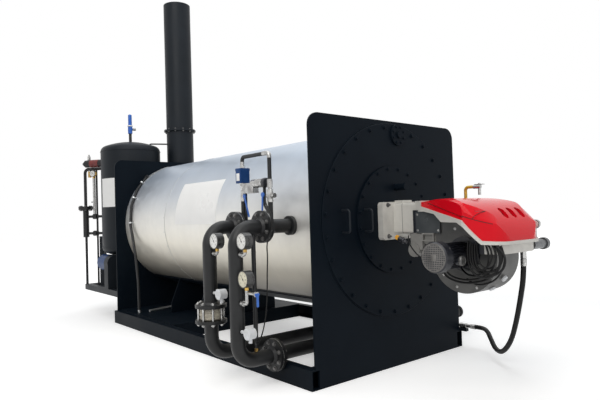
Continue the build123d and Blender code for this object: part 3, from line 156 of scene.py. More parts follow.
def surfaceMaterial(name, look):
    material, shader = newMaterial(name)
    _, grain, _, colour, rough = addWear(material, look)
    shader.inputs["Metallic"].default_value = look["metallic"]
    return closeMaterial(material, shader, look, colour, rough, grain)


# A node in several finishes: each zone lies above or below the planes that bound it
def zonedMaterial(name, look, zones):
    material, shader = newMaterial(name)
    cloud, grain, blend, colour, rough = addWear(material, look)
    metal = addRange(material, cloud, 0, 1, look["metallic"], look["metallic"])
    for zoneLook, planes in zones:
        zone = looks[zoneLook]
        mask = None
        for axis, place, above in planes:
            step = addStep(material, axis, place)
            if not above:
                step = addRange(material, step, 0, 1, 1, 0)
            mask = step if mask is None else addMath(material, "MULTIPLY", mask, step)
        colour = addMix(material, mask, colour, addMix(material, blend, zone["colour"], zone["worn"]))
        metal = addBlend(material, mask, metal, zone["metallic"])
        rough = addBlend(material, mask, rough, (zone["smoothest"] + zone["roughest"]) / 2)
    material.node_tree.links.new(metal, shader.inputs["Metallic"])
    return closeMaterial(material, shader, look, colour, rough, grain)


# One row per look, in the order of lookValues
lookValues = ("colour", "worn", "smoothest", "roughest", "metallic", "specular", "cloudScale", "grainScale",
              "bump")
lookRows = {
    "blackPaint": ((0.0095, 0.0125, 0.0165), (0.013, 0.0165, 0.021), 0.38, 0.55, 0.0, 0.16, 3, 160, 0.12),
    "platePaint": ((0.0032, 0.006, 0.01), (0.0052, 0.0086, 0.0132), 0.36, 0.52, 0.0, 0.05, 2.2, 160, 0.12),
    "pipeBlack": ((0.0065, 0.007, 0.0078), (0.014, 0.0145, 0.0155), 0.34, 0.52, 0.0, 0.34, 9, 120, 0.3),
    "cladding": ((0.56, 0.585, 0.61), (0.47, 0.49, 0.505), 0.36, 0.46, 0.72, 0.5, 1.6, 90, 0.03),
    "trimSheet": ((0.6, 0.61, 0.61), (0.48, 0.49, 0.49), 0.3, 0.45, 0.85, 0.5, 12, 150, 0.06),
    "valveCream": ((0.5, 0.46, 0.37), (0.34, 0.31, 0.26), 0.4, 0.6, 0.1, 0.4, 26, 200, 0.25),
    "steel": ((0.5, 0.5, 0.49), (0.27, 0.265, 0.26), 0.16, 0.42, 0.95, 0.5, 30, 300, 0.08),
    "darkSteel": ((0.1, 0.1, 0.1), (0.17, 0.165, 0.16), 0.3, 0.5, 0.7, 0.5, 40, 300, 0.12),
    "gaugeRim": ((0.055, 0.055, 0.055), (0.09, 0.09, 0.088), 0.24, 0.4, 0.6, 0.5, 40, 300, 0.06),
    "brass": ((0.55, 0.36, 0.1), (0.42, 0.27, 0.09), 0.22, 0.4, 0.95, 0.5, 40, 300, 0.08),
    "dialWhite": ((0.8, 0.8, 0.78), (0.75, 0.74, 0.7), 0.15, 0.25, 0.0, 0.5, 18, 200, 0.01),
    "dialCream": ((0.7, 0.67, 0.52), (0.62, 0.58, 0.44), 0.15, 0.25, 0.0, 0.5, 18, 200, 0.01),
    "dialInk": ((0.012, 0.012, 0.014), (0.02, 0.02, 0.022), 0.4, 0.5, 0.0, 0.4, 60, 300, 0.02),
    "whitePlastic": ((0.7, 0.72, 0.75), (0.6, 0.61, 0.62), 0.3, 0.45, 0.0, 0.5, 15, 250, 0.06),
    "barePlate": ((0.9, 0.9, 0.89), (0.86, 0.86, 0.85), 0.25, 0.4, 0.0, 0.5, 6, 120, 0.03),
    "controlBlue": ((0.006, 0.04, 0.15), (0.01, 0.052, 0.18), 0.3, 0.45, 0.0, 0.2, 12, 200, 0.1),
    "leverBlue": ((0.025, 0.12, 0.5), (0.04, 0.16, 0.56), 0.3, 0.45, 0.0, 0.5, 25, 200, 0.08),
    "castAlloy": ((0.64, 0.625, 0.585), (0.54, 0.525, 0.49), 0.42, 0.6, 0.2, 0.4, 9, 240, 0.3),
    "casingGrey": ((0.05, 0.057, 0.062), (0.075, 0.082, 0.086), 0.38, 0.55, 0.3, 0.4, 7, 200, 0.2),
    "motorBlack": ((0.007, 0.008, 0.012), (0.013, 0.014, 0.02), 0.28, 0.48, 0.0, 0.5, 10, 200, 0.2),
    "voluteGrey": ((0.085, 0.085, 0.083), (0.125, 0.124, 0.12), 0.35, 0.55, 0.35, 0.4, 7, 220, 0.3),
    # painted shade: cast alloy darkened for the bracket in shadow and for the groove on the neck
    "castPaintedShade": ((0.26, 0.255, 0.24), (0.22, 0.215, 0.205), 0.45, 0.6, 0.2, 0.4, 9, 240, 0.3),
    "filterGrey": ((0.11, 0.115, 0.125), (0.17, 0.175, 0.18), 0.22, 0.4, 0.7, 0.5, 30, 200, 0.08),
    "grilleGrey": ((0.115, 0.11, 0.105), (0.165, 0.158, 0.15), 0.35, 0.5, 0.3, 0.5, 22, 200, 0.12),
    "hoodRed": ((0.72, 0.004, 0.014), (0.67, 0.004, 0.013), 0.1, 0.2, 0.0, 0.16, 4, 90, 0.02),
    # painted shade: dark red inside the hood's louvre slots and along its moulded lines
    "redPaintedShade": ((0.028, 0.0006, 0.0015), (0.05, 0.001, 0.002), 0.3, 0.5, 0.0, 0.4, 12, 120, 0.05),
    "rimGrey": ((0.62, 0.605, 0.565), (0.56, 0.545, 0.51), 0.32, 0.48, 0.0, 0.45, 8, 160, 0.06),
    "gasYellow": ((0.62, 0.42, 0.04), (0.48, 0.32, 0.04), 0.25, 0.45, 0.2, 0.5, 30, 200, 0.1),
    "knobYellow": ((0.75, 0.36, 0.02), (0.68, 0.31, 0.02), 0.25, 0.4, 0.0, 0.5, 30, 200, 0.05),
    "hoseRubber": ((0.0045, 0.0045, 0.005), (0.009, 0.009, 0.009), 0.38, 0.58, 0.0, 0.22, 14, 400, 0.25),
    "bandRed": ((0.2, 0.035, 0.03), (0.14, 0.03, 0.03), 0.4, 0.6, 0.0, 0.4, 20, 200, 0.1),
}
looks = {name: dict(zip(lookValues, row)) for name, row in lookRows.items()}
materials = {name: surfaceMaterial(name, look) for name, look in looks.items()}
print("materials made:", len(materials))

slotLooks = {
    "black_paint": "blackPaint", "pipe_black": "pipeBlack", "cladding": "cladding",
    "valve_cream": "valveCream", "instrument_steel": "steel", "head_grey": "whitePlastic",
    "control_blue": "controlBlue", "burner_silver": "castAlloy", "burner_black": "motorBlack",
    "hood_red": "hoodRed", "rim_grey": "rimGrey", "gas_yellow": "gasYellow",
    "hose_rubber": "hoseRubber", "fitting_steel": "steel", "cap_plastic": "hoseRubber",
}
nodeSlots = {row["node"]: row["material_slot"] for row in frame["record"]["subparts"]}
# The darker plate paint goes on these nodes; the door's handles keep the lighter black paint as a painted
# sheen
platePainted = ("front_plate", "rear_plate", "door_ring", "burner_door", "blind_cover", "sight_tube",
                "skid_rails", "skid_cross_members", "skid_floor_plate", "shell_cradle", "shell_saddles")
nodeLooks = {node: slotLooks[slot] for node, slot in nodeSlots.items()}
nodeLooks.update({node: "platePaint" for node in platePainted})
nodeLooks.update({"pressure_unit": "steel", "control_levers": "leverBlue", "pressure_gauges": "gaugeRim"})

# Per zone: its finish, and (axis, place in metres, above it or not) for each plane that bounds it
zonedNodes = {
    # below Z 0.8985 the casing's bracket gets painted shadow
    "burner_casing": ("castAlloy", (("castPaintedShade", (("Z", 0.8985, False),)),
                                    ("voluteGrey", (("X", 0.425, True),)),
                                    ("casingGrey", (("Z", 0.8985, True), ("X", 0.466, False))),
                                    # painted shadow: black in the gap between the neck and the casing's panel
                                    ("motorBlack", (("Z", 0.8985, True), ("X", 0.287, False))))),
    "gas_pipe": ("gasYellow", (("steel", (("X", 0.508, True),)),)),
    "relief_valve": ("pipeBlack", (("leverBlue", (("Z", 2.0, True),)),
                                   ("steel", (("Y", -0.351, True), ("Z", 2.0, True))))),
    "burner_intake": ("rimGrey", (("motorBlack", (("X", 0.812, False), ("Y", -0.10, False))),
                                  ("motorBlack", (("X", 0.812, False), ("Z", 0.795, False))))),
    "gauge_cocks": ("steel", (("leverBlue", (("X", -0.100, True), ("Z", 0.6, False))),)),
    # the thin band is painted shade in the neck's groove
    "burner_neck": ("castAlloy", (("castPaintedShade", (("X", 0.142, True), ("X", 0.147, False))),)),
    "burner_fitting": ("steel", (("filterGrey", (("Z", 0.788, True), ("Z", 0.866, False))),)),
    "shell_conduit": ("pipeBlack", (("trimSheet", (("Z", 0.152, False),)),)),
    "tank_fittings": ("steel", (("brass", (("Z", 1.60, False), ("Z", 1.52, True))),)),
}
for node, (look, zones) in zonedNodes.items():
    nodeLooks[node] = node + "Finish"
    materials[nodeLooks[node]] = zonedMaterial(nodeLooks[node], looks[look], zones)


# Bright sheet round the shell with painted reflection and shade by height: painted warm ground reflection and
# shade below, pale painted reflection in the middle, painted bluish sky reflection on top, with faint bands
# where it was rolled. A layer of noise is (scale, detail, stretch) and the range of its shade
claddingPaintedLight = {
    "paintedLightStops": ((0.0, (0.17, 0.16, 0.15)), (0.08, (0.27, 0.255, 0.23)), (0.20, (0.58, 0.545, 0.47)),
              (0.36, (0.80, 0.765, 0.68)), (0.54, (0.78, 0.775, 0.75)), (0.72, (0.56, 0.60, 0.655)),
              (0.86, (0.40, 0.455, 0.53)), (1.0, (0.46, 0.52, 0.60))),
    "low": 0.36, "high": 1.61, "metallic": 0.55, "roughness": (0.36, 0.47), "bump": (0.05, 0.004),
    "wave": ((2.2, 3, (0.5, 1, 1)), (0.2, 0.8, -0.035, 0.035)),
    "bands": ((5, 2, (1.2, 0.05, 0.05)), (0.3, 0.7, 0.97, 1.02)),
    "fine": ((60, 3, (1.0, 0.02, 0.02)), (0.3, 0.7, 0.992, 1.006)),
    "scuffs": ((14, 5), (0.25, 0.75, 0.95, 1.03)),
}


def makeCladding(name, facts):
    material, shader = newMaterial(name)
    nodes = material.node_tree.nodes
    links = material.node_tree.links
    height = addRange(material, objectAxes(material)["Z"], facts["low"], facts["high"], 0, 1)
    noises = {layer: addNoise(material, *facts[layer][0]) for layer in ("wave", "bands", "fine", "scuffs")}
    shades = {layer: addRange(material, noise, *facts[layer][1]) for layer, noise in noises.items()}
    # Painted reflection and shade: a colour ramp up the shell's height, made wavy by the wave noise
    ramp = nodes.new("ShaderNodeValToRGB")
    links.new(addMath(material, "ADD", height, shades["wave"]), ramp.inputs["Fac"])
    paintedLightStops = facts["paintedLightStops"]
    while len(ramp.color_ramp.elements) < len(paintedLightStops):
        ramp.color_ramp.elements.new(0.5)
    for element, (place, colour) in zip(ramp.color_ramp.elements, paintedLightStops):
        element.position = place
        element.color = (*colour, 1)
    shade = addMath(material, "MULTIPLY", shades["bands"], shades["fine"])
    shade = addMath(material, "MULTIPLY", shade, shades["scuffs"])
    tint = nodes.new("ShaderNodeMix")
    tint.data_type = "RGBA"
    tint.blend_type = "MULTIPLY"
    tint.inputs[0].default_value = 1
    links.new(ramp.outputs["Color"], tint.inputs[6])
    links.new(shade, tint.inputs[7])
    links.new(tint.outputs[2], shader.inputs["Base Color"])
    rough = addRange(material, noises["scuffs"], *wear["roughRange"], *facts["roughness"])
    links.new(rough, shader.inputs["Roughness"])
    shader.inputs["Metallic"].default_value = facts["metallic"]
    addBump(material, shader, noises["scuffs"], *facts["bump"])
    return material


materials["claddingPaintedLight"] = makeCladding("claddingPaintedLight", claddingPaintedLight)
nodeLooks.update({"shell_front_course": "claddingPaintedLight", "shell_rear_course": "claddingPaintedLight"})
for node, look in nodeLooks.items():
    nodeMesh = frame["nodes"][node].data
    nodeMesh.materials.clear()
    nodeMesh.materials.append(materials[look])
print("nodes dressed:", len(nodeLooks))


# Camera at the photograph's place
cameraView = {"place": (2.4395, -2.8285, 1.0414), "azimuth": 140.232, "pitch": 1.439, "roll": -1.808,
              "focalPixels": 544.2, "imagePixels": 600, "sensor": 36.0}


def makeCamera(view):
    azimuth, pitch, roll = (math.radians(view[key]) for key in ("azimuth", "pitch", "roll"))
    level = math.cos(pitch)
    forward = Vector((level * math.cos(azimuth), level * math.sin(azimuth), math.sin(pitch)))
    levelRight = Vector((math.sin(azimuth), -math.cos(azimuth), 0))
    levelUp = levelRight.cross(forward)
    right = levelRight * math.cos(roll) + levelUp * math.sin(roll)
    up = levelUp * math.cos(roll) - levelRight * math.sin(roll)
    camera = bpy.data.objects.new("camera", bpy.data.cameras.new("camera"))
    bpy.context.scene.collection.objects.link(camera)
    turn = Matrix((right, up, -forward)).transposed().to_4x4()
    camera.matrix_world = Matrix.Translation(view["place"]) @ turn
    camera.data.sensor_width = view["sensor"]
    camera.data.lens = view["focalPixels"] / view["imagePixels"] * view["sensor"]
    bpy.context.scene.camera = camera


makeCamera(cameraView)


# Modelling helpers in metres: a blank is made round the origin along +Z, then copied to its places
pieceNames = []


def startBlank(operator, **settings):
    bpy.ops.object.select_all(action="DESELECT")
    operator(**settings)
    return bpy.context.object


def editAll():
    bpy.ops.object.mode_set(mode="EDIT")
    bpy.ops.mesh.select_all(action="SELECT")


def faceOutwards():
    bpy.ops.mesh.select_all(action="SELECT")
    bpy.ops.mesh.normals_make_consistent(inside=False)
    bpy.ops.object.mode_set(mode="OBJECT")


def softenEdges(blank, width, segments=2, angle=35):
    bevel = blank.modifiers.new("softEdges", "BEVEL")
    bevel.width = width
    bevel.segments = segments
    bevel.limit_method = "ANGLE"
    bevel.angle_limit = math.radians(angle)
    bpy.context.view_layer.objects.active = blank
    bpy.ops.object.modifier_apply(modifier=bevel.name)


def addWall(sheet, thickness):
    wall = sheet.modifiers.new("wall", "SOLIDIFY")
    wall.thickness = thickness
    wall.offset = 0
    bpy.ops.object.modifier_apply(modifier=wall.name)


# Rings of (radius, height): a filled circle, extruded and scaled from each ring to the next
def turned(rings, sides=24, soften=0.0):
    radius, height = rings[0]
    blank = startBlank(bpy.ops.mesh.primitive_circle_add, vertices=sides, radius=radius, fill_type="NGON",
                       location=(0, 0, height))
    bpy.ops.object.transform_apply(location=True, rotation=True, scale=True)
    editAll()
    for nextRadius, nextHeight in rings[1:]:
        bpy.ops.mesh.extrude_region_move(TRANSFORM_OT_translate={"value": (0, 0, nextHeight - height)})
        growth = nextRadius / radius
        bpy.ops.transform.resize(value=(growth, growth, 1), center_override=(0, 0, 0))
        radius, height = nextRadius, nextHeight
    faceOutwards()
    if soften:
        softenEdges(blank, soften)
    return blank


def boxBlank(size, centre=(0, 0, 0), soften=0.0, segments=2):
    blank = startBlank(bpy.ops.mesh.primitive_cube_add, size=1, location=centre, scale=size)
    bpy.ops.object.transform_apply(location=True, rotation=True, scale=True)
    if soften:
        softenEdges(blank, soften, segments)
    return blank


# A flat outline of (across, up) points, filled and extruded along +Z
def plateBlank(outline, low, high):
    blank = startBlank(bpy.ops.mesh.primitive_circle_add, vertices=len(outline), radius=0.01,
                       fill_type="NGON")
    for vertex, (across, up) in zip(blank.data.vertices, outline):
        vertex.co = (across, up, low)
    editAll()
    bpy.ops.mesh.extrude_region_move(TRANSFORM_OT_translate={"value": (0, 0, high - low)})
    faceOutwards()
    return blank


def joinBlanks(blanks):
    bpy.ops.object.select_all(action="DESELECT")
    for blank in blanks:
        blank.select_set(True)
    bpy.context.view_layer.objects.active = blanks[0]
    if len(blanks) > 1:
        bpy.ops.object.join()
    return bpy.context.view_layer.objects.active


def copyTo(blank, place):
    copied = blank.copy()
    copied.data = blank.data.copy()
    copied.data.transform(place)
    bpy.context.scene.collection.objects.link(copied)
    return copied


# Copies of a blank at its places, without the blank itself
def copies(blank, places):
    made = [copyTo(blank, place) for place in places]
    bpy.data.objects.remove(blank)
    return made


def finishPiece(blanks, name, look, slot, smoothAngle=32):
    piece = joinBlanks(blanks)
    piece.name = name
    piece.data.name = name
    bpy.ops.object.select_all(action="DESELECT")
    piece.select_set(True)
    bpy.ops.object.shade_smooth_by_angle(angle=math.radians(smoothAngle))
    piece.data.materials.clear()
    piece.data.materials.append(materials[look])
    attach(piece, "root")
    pieceNames.append(name)
    return piece


# A place whose +Z looks along the direction and whose +Y is as near to up as it can be
def facing(place, direction):
    aim = Vector(direction).to_track_quat("Z", "Y").to_matrix().to_4x4()
    return Matrix.Translation(place) @ aim


def ringOf(centre, direction, radius, count, start=0.0):
    base = facing(centre, direction)
    out = Matrix.Translation((radius, 0, 0))
    return [base @ Matrix.Rotation(math.radians(start + 360 * step / count), 4, "Z") @ out
            for step in range(count)]


# A turned piece at each of its places; its profile is in metres, or in shares where it has a radius
def turnedPiece(name, facts):
    reach = facts.get("radius", 1)
    rings = [(reach * share, height) for share, height in facts["profile"]]
    blank = turned(rings, facts["sides"], facts.get("soften", 0.0))
    return finishPiece(copies(blank, [facing(*place) for place in facts["places"]]), name, *facts["finish"])


def turnedPieces(group):
    for name, facts in group.items():
        turnedPiece(name, facts)


# A hexagon head on its washer (radius, thickness), with a stud end (radius, length) above it
def hexBolt(head, height, washer, stud=None):
    seat = washer[1]
    blanks = [turned(((washer[0], -0.0004), (washer[0], seat)), 18, seat * 0.3),
              turned(((head, seat - 0.0003), (head, seat + height * 0.86), (head * 0.87, seat + height)), 6)]
    if stud:
        top = seat + height + stud[1]
        blanks.append(turned(((stud[0], seat + height * 0.9), (stud[0], top - 0.0015), (stud[0] * 0.8, top)),
                             12))
    return joinBlanks(blanks)


# Studio: a pale floor that brightens with distance, a white surround and soft lamps
studio = {"floorSize": 60, "floorDrop": 0.001, "floorColour": (0.9, 0.9, 0.9), "floorTint": 0.98,
          "floorRoughness": 0.95, "floorNoise": (3, 3), "ambient": 0.42, "lift": (0.36, 0.95),
          "liftReach": (3.2, 9.0), "aim": (-1.2, 0, 0.8),
          "lamps": (("keyLamp", (1.5, -4.5, 5.5), 5.0, 225, (1.0, 0.98, 0.95)),
                    ("topLamp", (-1.5, 0.5, 6.5), 6.0, 165, (0.93, 0.97, 1.0)),
                    ("fillLamp", (5.5, -0.5, 2.6), 3.0, 45, (1.0, 1.0, 1.0)))}


# 1 for what the camera, a mirror or a glass sees directly, 0 for light that falls on the object
def addSeenMask(owner):
    ray = owner.node_tree.nodes.new("ShaderNodeLightPath")
    mask = ray.outputs["Is Camera Ray"]
    for output in ("Is Glossy Ray", "Is Transmission Ray"):
        mask = addMath(owner, "MAXIMUM", mask, ray.outputs[output])
    return mask


def makeFloor():
    floor = startBlank(bpy.ops.mesh.primitive_plane_add, size=studio["floorSize"],
                       location=(0, 0, -studio["floorDrop"]))
    floor.name = "floor"
    material, shader = newMaterial("paleFloor")
    nodes = material.node_tree.nodes
    links = material.node_tree.links
    tint = tuple(channel * studio["floorTint"] for channel in studio["floorColour"])
    colour = addMix(material, addNoise(material, *studio["floorNoise"]), studio["floorColour"], tint)
    links.new(colour, shader.inputs["Base Color"])
    shader.inputs["Roughness"].default_value = studio["floorRoughness"]
    shader.inputs["Specular IOR Level"].default_value = 0.0
    lift = nodes.new("ShaderNodeEmission")
    coordinate = nodes.new("ShaderNodeTexCoord")
    distance = nodes.new("ShaderNodeVectorMath")
    distance.operation = "LENGTH"
    links.new(coordinate.outputs["Object"], distance.inputs[0])
    strength = addRange(material, distance.outputs["Value"], *studio["liftReach"], *studio["lift"])
    links.new(addMath(material, "MULTIPLY", strength, addSeenMask(material)), lift.inputs["Strength"])
    both = nodes.new("ShaderNodeAddShader")
    links.new(shader.outputs["BSDF"], both.inputs[0])
    links.new(lift.outputs["Emission"], both.inputs[1])
    output = next(node for node in nodes if node.type == "OUTPUT_MATERIAL")
    links.new(both.outputs["Shader"], output.inputs["Surface"])
    floor.data.materials.append(material)


def makeWorld():
    world = bpy.data.worlds.new("surround")
    world.use_nodes = True
    bpy.context.scene.world = world
    nodes = world.node_tree.nodes
    links = world.node_tree.links
    nodes.clear()
    output = nodes.new("ShaderNodeOutputWorld")
    ambient = nodes.new("ShaderNodeBackground")
    ambient.inputs["Strength"].default_value = studio["ambient"]
    white = nodes.new("ShaderNodeBackground")
    white.inputs["Color"].default_value = (1, 1, 1, 1)
    mix = nodes.new("ShaderNodeMixShader")
    links.new(addSeenMask(world), mix.inputs["Fac"])
    links.new(ambient.outputs["Background"], mix.inputs[1])
    links.new(white.outputs["Background"], mix.inputs[2])
    links.new(mix.outputs["Shader"], output.inputs["Surface"])


def makeLamps():
    aim = Vector(studio["aim"])
    for name, place, size, power, colour in studio["lamps"]:
        lamp = bpy.data.objects.new(name, bpy.data.lights.new(name, "AREA"))
        lamp.data.size = size
        lamp.data.energy = power
        lamp.data.color = colour
        lamp.location = place
        lamp.rotation_euler = (aim - Vector(place)).to_track_quat("-Z", "Y").to_euler()
        bpy.context.scene.collection.objects.link(lamp)


makeFloor()
makeWorld()
makeLamps()
bpy.context.scene.view_settings.view_transform = "Standard"
print("studio ready")


# Cords: a free hose, a lead on the instruments and the burner's leads, each one smooth line
cords = {
    "fuelHose": {
        "radius": 0.016, "length": 1.27, "stiffness": "stiff", "replaces": "fuel_hose",
        "points": ((0.092, 0.745, 0.160), (0.180, 0.745, 0.164), (0.262, 0.690, 0.164),
                   (0.335, 0.615, 0.125), (0.410, 0.545, 0.078), (0.500, 0.480, 0.084),
                   (0.600, 0.420, 0.190), (0.680, 0.352, 0.350), (0.745, 0.290, 0.500),
                   (0.790, 0.250, 0.630), (0.799, 0.240, 0.736))},
    "instrumentCable": {
        "radius": 0.004, "length": 1.063, "stiffness": "medium", "replaces": "instrument_cable",
        "points": ((-0.356, -0.785, 1.2167), (-0.356, -0.785, 1.178), (-0.330, -0.808, 1.135),
                   (-0.273, -0.842, 1.104), (-0.215, -0.856, 1.050), (-0.198, -0.856, 0.986),
                   (-0.199, -0.870, 0.926), (-0.191, -0.909, 0.872), (-0.186, -0.908, 0.786),
                   (-0.179, -0.920, 0.702), (-0.182, -0.920, 0.620), (-0.190, -0.920, 0.530),
                   (-0.205, -0.920, 0.440), (-0.228, -0.920, 0.370), (-0.255, -0.923, 0.305),
                   (-0.2865, -0.925, 0.265))},
    "outerLead": {
        "radius": 0.0065, "length": 0.498, "stiffness": "medium",
        "points": ((0.862, -0.212, 0.862), (0.905, -0.215, 0.835), (0.948, -0.218, 0.785),
                   (0.938, -0.220, 0.722), (0.880, -0.218, 0.682), (0.815, -0.215, 0.682),
                   (0.762, -0.212, 0.712), (0.742, -0.210, 0.770), (0.748, -0.208, 0.845))},
    "middleLead": {
        "radius": 0.0062, "length": 0.463, "stiffness": "medium",
        "points": ((0.835, -0.206, 0.866), (0.880, -0.208, 0.862), (0.922, -0.210, 0.822),
                   (0.924, -0.212, 0.752), (0.880, -0.212, 0.706), (0.822, -0.212, 0.694),
                   (0.770, -0.210, 0.720), (0.758, -0.208, 0.780), (0.762, -0.206, 0.845))},
    "innerLead": {
        "radius": 0.005, "length": 0.435, "stiffness": "medium",
        "points": ((0.800, -0.228, 0.872), (0.838, -0.230, 0.862), (0.875, -0.232, 0.826),
                   (0.878, -0.232, 0.765), (0.838, -0.230, 0.716), (0.782, -0.226, 0.704),
                   (0.742, -0.222, 0.738), (0.735, -0.218, 0.800), (0.742, -0.216, 0.862))},
    "sweepLead": {
        "radius": 0.0065, "length": 0.651, "stiffness": "medium",
        "points": ((0.470, -0.108, 0.700), (0.500, -0.132, 0.664), (0.556, -0.146, 0.634),
                   (0.654, -0.152, 0.618), (0.775, -0.165, 0.638), (0.853, -0.190, 0.674),
                   (0.900, -0.206, 0.716), (0.922, -0.212, 0.772), (0.905, -0.212, 0.832),
                   (0.880, -0.212, 0.866))},
    "secondSweep": {
        "radius": 0.0055, "length": 0.603, "stiffness": "medium",
        "points": ((0.490, -0.108, 0.720), (0.520, -0.136, 0.678), (0.574, -0.154, 0.650),
                   (0.664, -0.164, 0.637), (0.770, -0.178, 0.655), (0.838, -0.200, 0.690),
                   (0.880, -0.216, 0.734), (0.896, -0.222, 0.786), (0.884, -0.222, 0.836),
                   (0.860, -0.220, 0.868))},
    "thirdSweep": {
        "radius": 0.0055, "length": 0.433, "stiffness": "medium",
        "points": ((0.600, -0.112, 0.712), (0.640, -0.140, 0.680), (0.706, -0.165, 0.664),
                   (0.778, -0.190, 0.678), (0.833, -0.212, 0.716), (0.858, -0.226, 0.772),
                   (0.852, -0.230, 0.822), (0.834, -0.228, 0.866))},
    "hangingLead": {
        "radius": 0.006, "length": 0.518, "stiffness": "medium",
        "points": ((0.722, -0.206, 0.862), (0.718, -0.212, 0.800), (0.722, -0.216, 0.744),
                   (0.748, -0.220, 0.690), (0.806, -0.222, 0.664), (0.866, -0.220, 0.676),
                   (0.908, -0.216, 0.724), (0.914, -0.212, 0.782), (0.892, -0.210, 0.836),
                   (0.860, -0.210, 0.868))},
    "backLead": {
        "radius": 0.0045, "length": 0.362, "stiffness": "medium",
        "points": ((0.776, -0.206, 0.862), (0.772, -0.206, 0.800), (0.784, -0.206, 0.744),
                   (0.826, -0.206, 0.712), (0.872, -0.206, 0.728), (0.892, -0.206, 0.778),
                   (0.880, -0.206, 0.830), (0.850, -0.206, 0.866))},
    "lowLead": {
        "radius": 0.005, "length": 0.456, "stiffness": "medium",
        "points": ((0.640, -0.108, 0.640), (0.690, -0.120, 0.612), (0.760, -0.128, 0.616),
                   (0.830, -0.140, 0.644), (0.884, -0.170, 0.684), (0.925, -0.198, 0.734),
                   (0.938, -0.208, 0.790), (0.920, -0.212, 0.842))},
    "sensorLead": {
        "radius": 0.0038, "length": 0.407, "stiffness": "medium",
        "points": ((0.206, -0.080, 0.880), (0.234, -0.122, 0.856), (0.285, -0.150, 0.806),
                   (0.340, -0.158, 0.762), (0.400, -0.165, 0.735), (0.470, -0.160, 0.738),
                   (0.540, -0.150, 0.748))},
}


# Crimped sleeves on the ends of the fuel hose: place and the way that the hose leaves it
hoseSleeves = {"radius": 0.0185, "length": 0.042, "sides": 28, "lip": 0.0015, "footShare": 0.94,
               "endShare": 0.92, "crimps": 4, "firstCrimp": 0.006, "crimpPitch": 0.008,
               "crimpWidth": 0.004, "crimpShare": 0.95,
               "places": (((0.094, 0.745, 0.160), (1, 0, 0)), ((0.799, 0.240, 0.734), (-0.04, 0.045, -1)))}


def makeHoseSleeves():
    facts = hoseSleeves
    reach, size, width = facts["radius"], facts["length"], facts["crimpWidth"]
    rings = [(reach * facts["footShare"], 0.0), (reach, facts["lip"])]
    for step in range(facts["crimps"]):
        foot = facts["firstCrimp"] + step * facts["crimpPitch"]
        rings += [(reach, foot), (reach * facts["crimpShare"], foot + width / 2), (reach, foot + width)]
    rings += [(reach, size - facts["lip"]), (reach * facts["endShare"], size)]
    sleeve = turned(rings, facts["sides"])
    places = [facing(*place) for place in facts["places"]]
    return finishPiece(copies(sleeve, places), "hoseSleeves", "steel", "fitting_steel")


def layCord(name, cord):
    curve = bpy.data.curves.new(name, "CURVE")
    curve.dimensions = "3D"
    curve.bevel_depth = cord["radius"]
    curve.bevel_resolution = 5
    curve.use_fill_caps = True
    spline = curve.splines.new("NURBS")
    spline.points.add(len(cord["points"]) - 1)
    for point, place in zip(spline.points, cord["points"]):
        point.co = (*place, 1)
    spline.order_u = 3
    spline.use_endpoint_u = True
    spline.resolution_u = 10
    piece = bpy.data.objects.new(name, curve)
    bpy.context.scene.collection.objects.link(piece)
    piece.data.materials.append(materials["hoseRubber"])
    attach(piece, "root")
    if "replaces" in cord:
        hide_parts(cord["replaces"])


sleeves = makeHoseSleeves()
for cordName, cord in cords.items():
    layCord(cordName, cord)
print("cords laid:", len(cords))


# Bolts of the front plate and the covers, on circles of (radius, count, first angle)
plateBolts = {
    "doorRingBolts": {"centre": (0.018, 0, 0.985), "circle": (0.618, 27, 95.5),
                      "bolt": (0.0115, 0.010, (0.0155, 0.0028))},
    "innerDoorBolts": {"centre": (0.032, 0, 0.985), "circle": (0.337, 20, 9.0),
                       "bolt": (0.0095, 0.008, (0.013, 0.0022))},
    "blindCoverBolts": {"centre": (0.032, 0.070, 1.558), "circle": (0.056, 8, 22.5),
                        "bolt": (0.0075, 0.006, (0.0105, 0.0018))},
}
for name, facts in plateBolts.items():
    places = ringOf(facts["centre"], (1, 0, 0), *facts["circle"])
    finishPiece(copies(hexBolt(*facts["bolt"]), places), name, "platePaint", "black_paint")

burnerStuds = {"spread": 0.116, "levels": (1.080, 0.876), "face": 0.074,
               "bolt": (0.0105, 0.010, (0.0155, 0.0025), (0.0062, 0.009))}
places = [facing((burnerStuds["face"], side * burnerStuds["spread"], level), (1, 0, 0))
          for side in (-1, 1) for level in burnerStuds["levels"]]
finishPiece(copies(hexBolt(*burnerStuds["bolt"]), places), "burnerStuds", "darkSteel", "fitting_steel")


# Bolt heads on one side of a joint, nuts with stud ends on the other
def boltPairs(facts, headCentre, nutCentre, direction):
    direction = Vector(direction)
    heads = copies(hexBolt(*facts["bolt"]), ringOf(headCentre, direction, *facts["circle"]))
    nuts = copies(hexBolt(*facts["bolt"], facts["stud"]), ringOf(nutCentre, -direction, *facts["circle"]))
    return heads + nuts


# Flanged joints of the oil pipes, each with the edge of its gasket
flangeJoints = {"rearNozzle": (-0.610, -0.853, 0.968), "frontNozzle": (-0.307, -0.853, 0.968),
                "lowPipe": (-0.307, -0.790, 0.168)}
flangeFacts = {"thickness": 0.020, "direction": (0, -1, 0), "circle": (0.080, 8, 22.5),
               "bolt": (0.0108, 0.0095, (0.0145, 0.0022)), "stud": (0.0068, 0.007),
               "gasket": ((0.0997, -0.0016), (0.1009, -0.0011), (0.1009, 0.0011), (0.0997, 0.0016))}
for name, centre in flangeJoints.items():
    reach = flangeFacts["thickness"] * Vector(flangeFacts["direction"])
    bolts = boltPairs(flangeFacts, Vector(centre) + reach, Vector(centre) - reach, flangeFacts["direction"])
    finishPiece(bolts, name + "Bolts", "darkSteel", "pipe_black")
    turnedPiece(name + "Gasket", {"profile": flangeFacts["gasket"], "sides": 48,
                                  "places": ((centre, flangeFacts["direction"]),),
                                  "finish": ("steel", "pipe_black")})

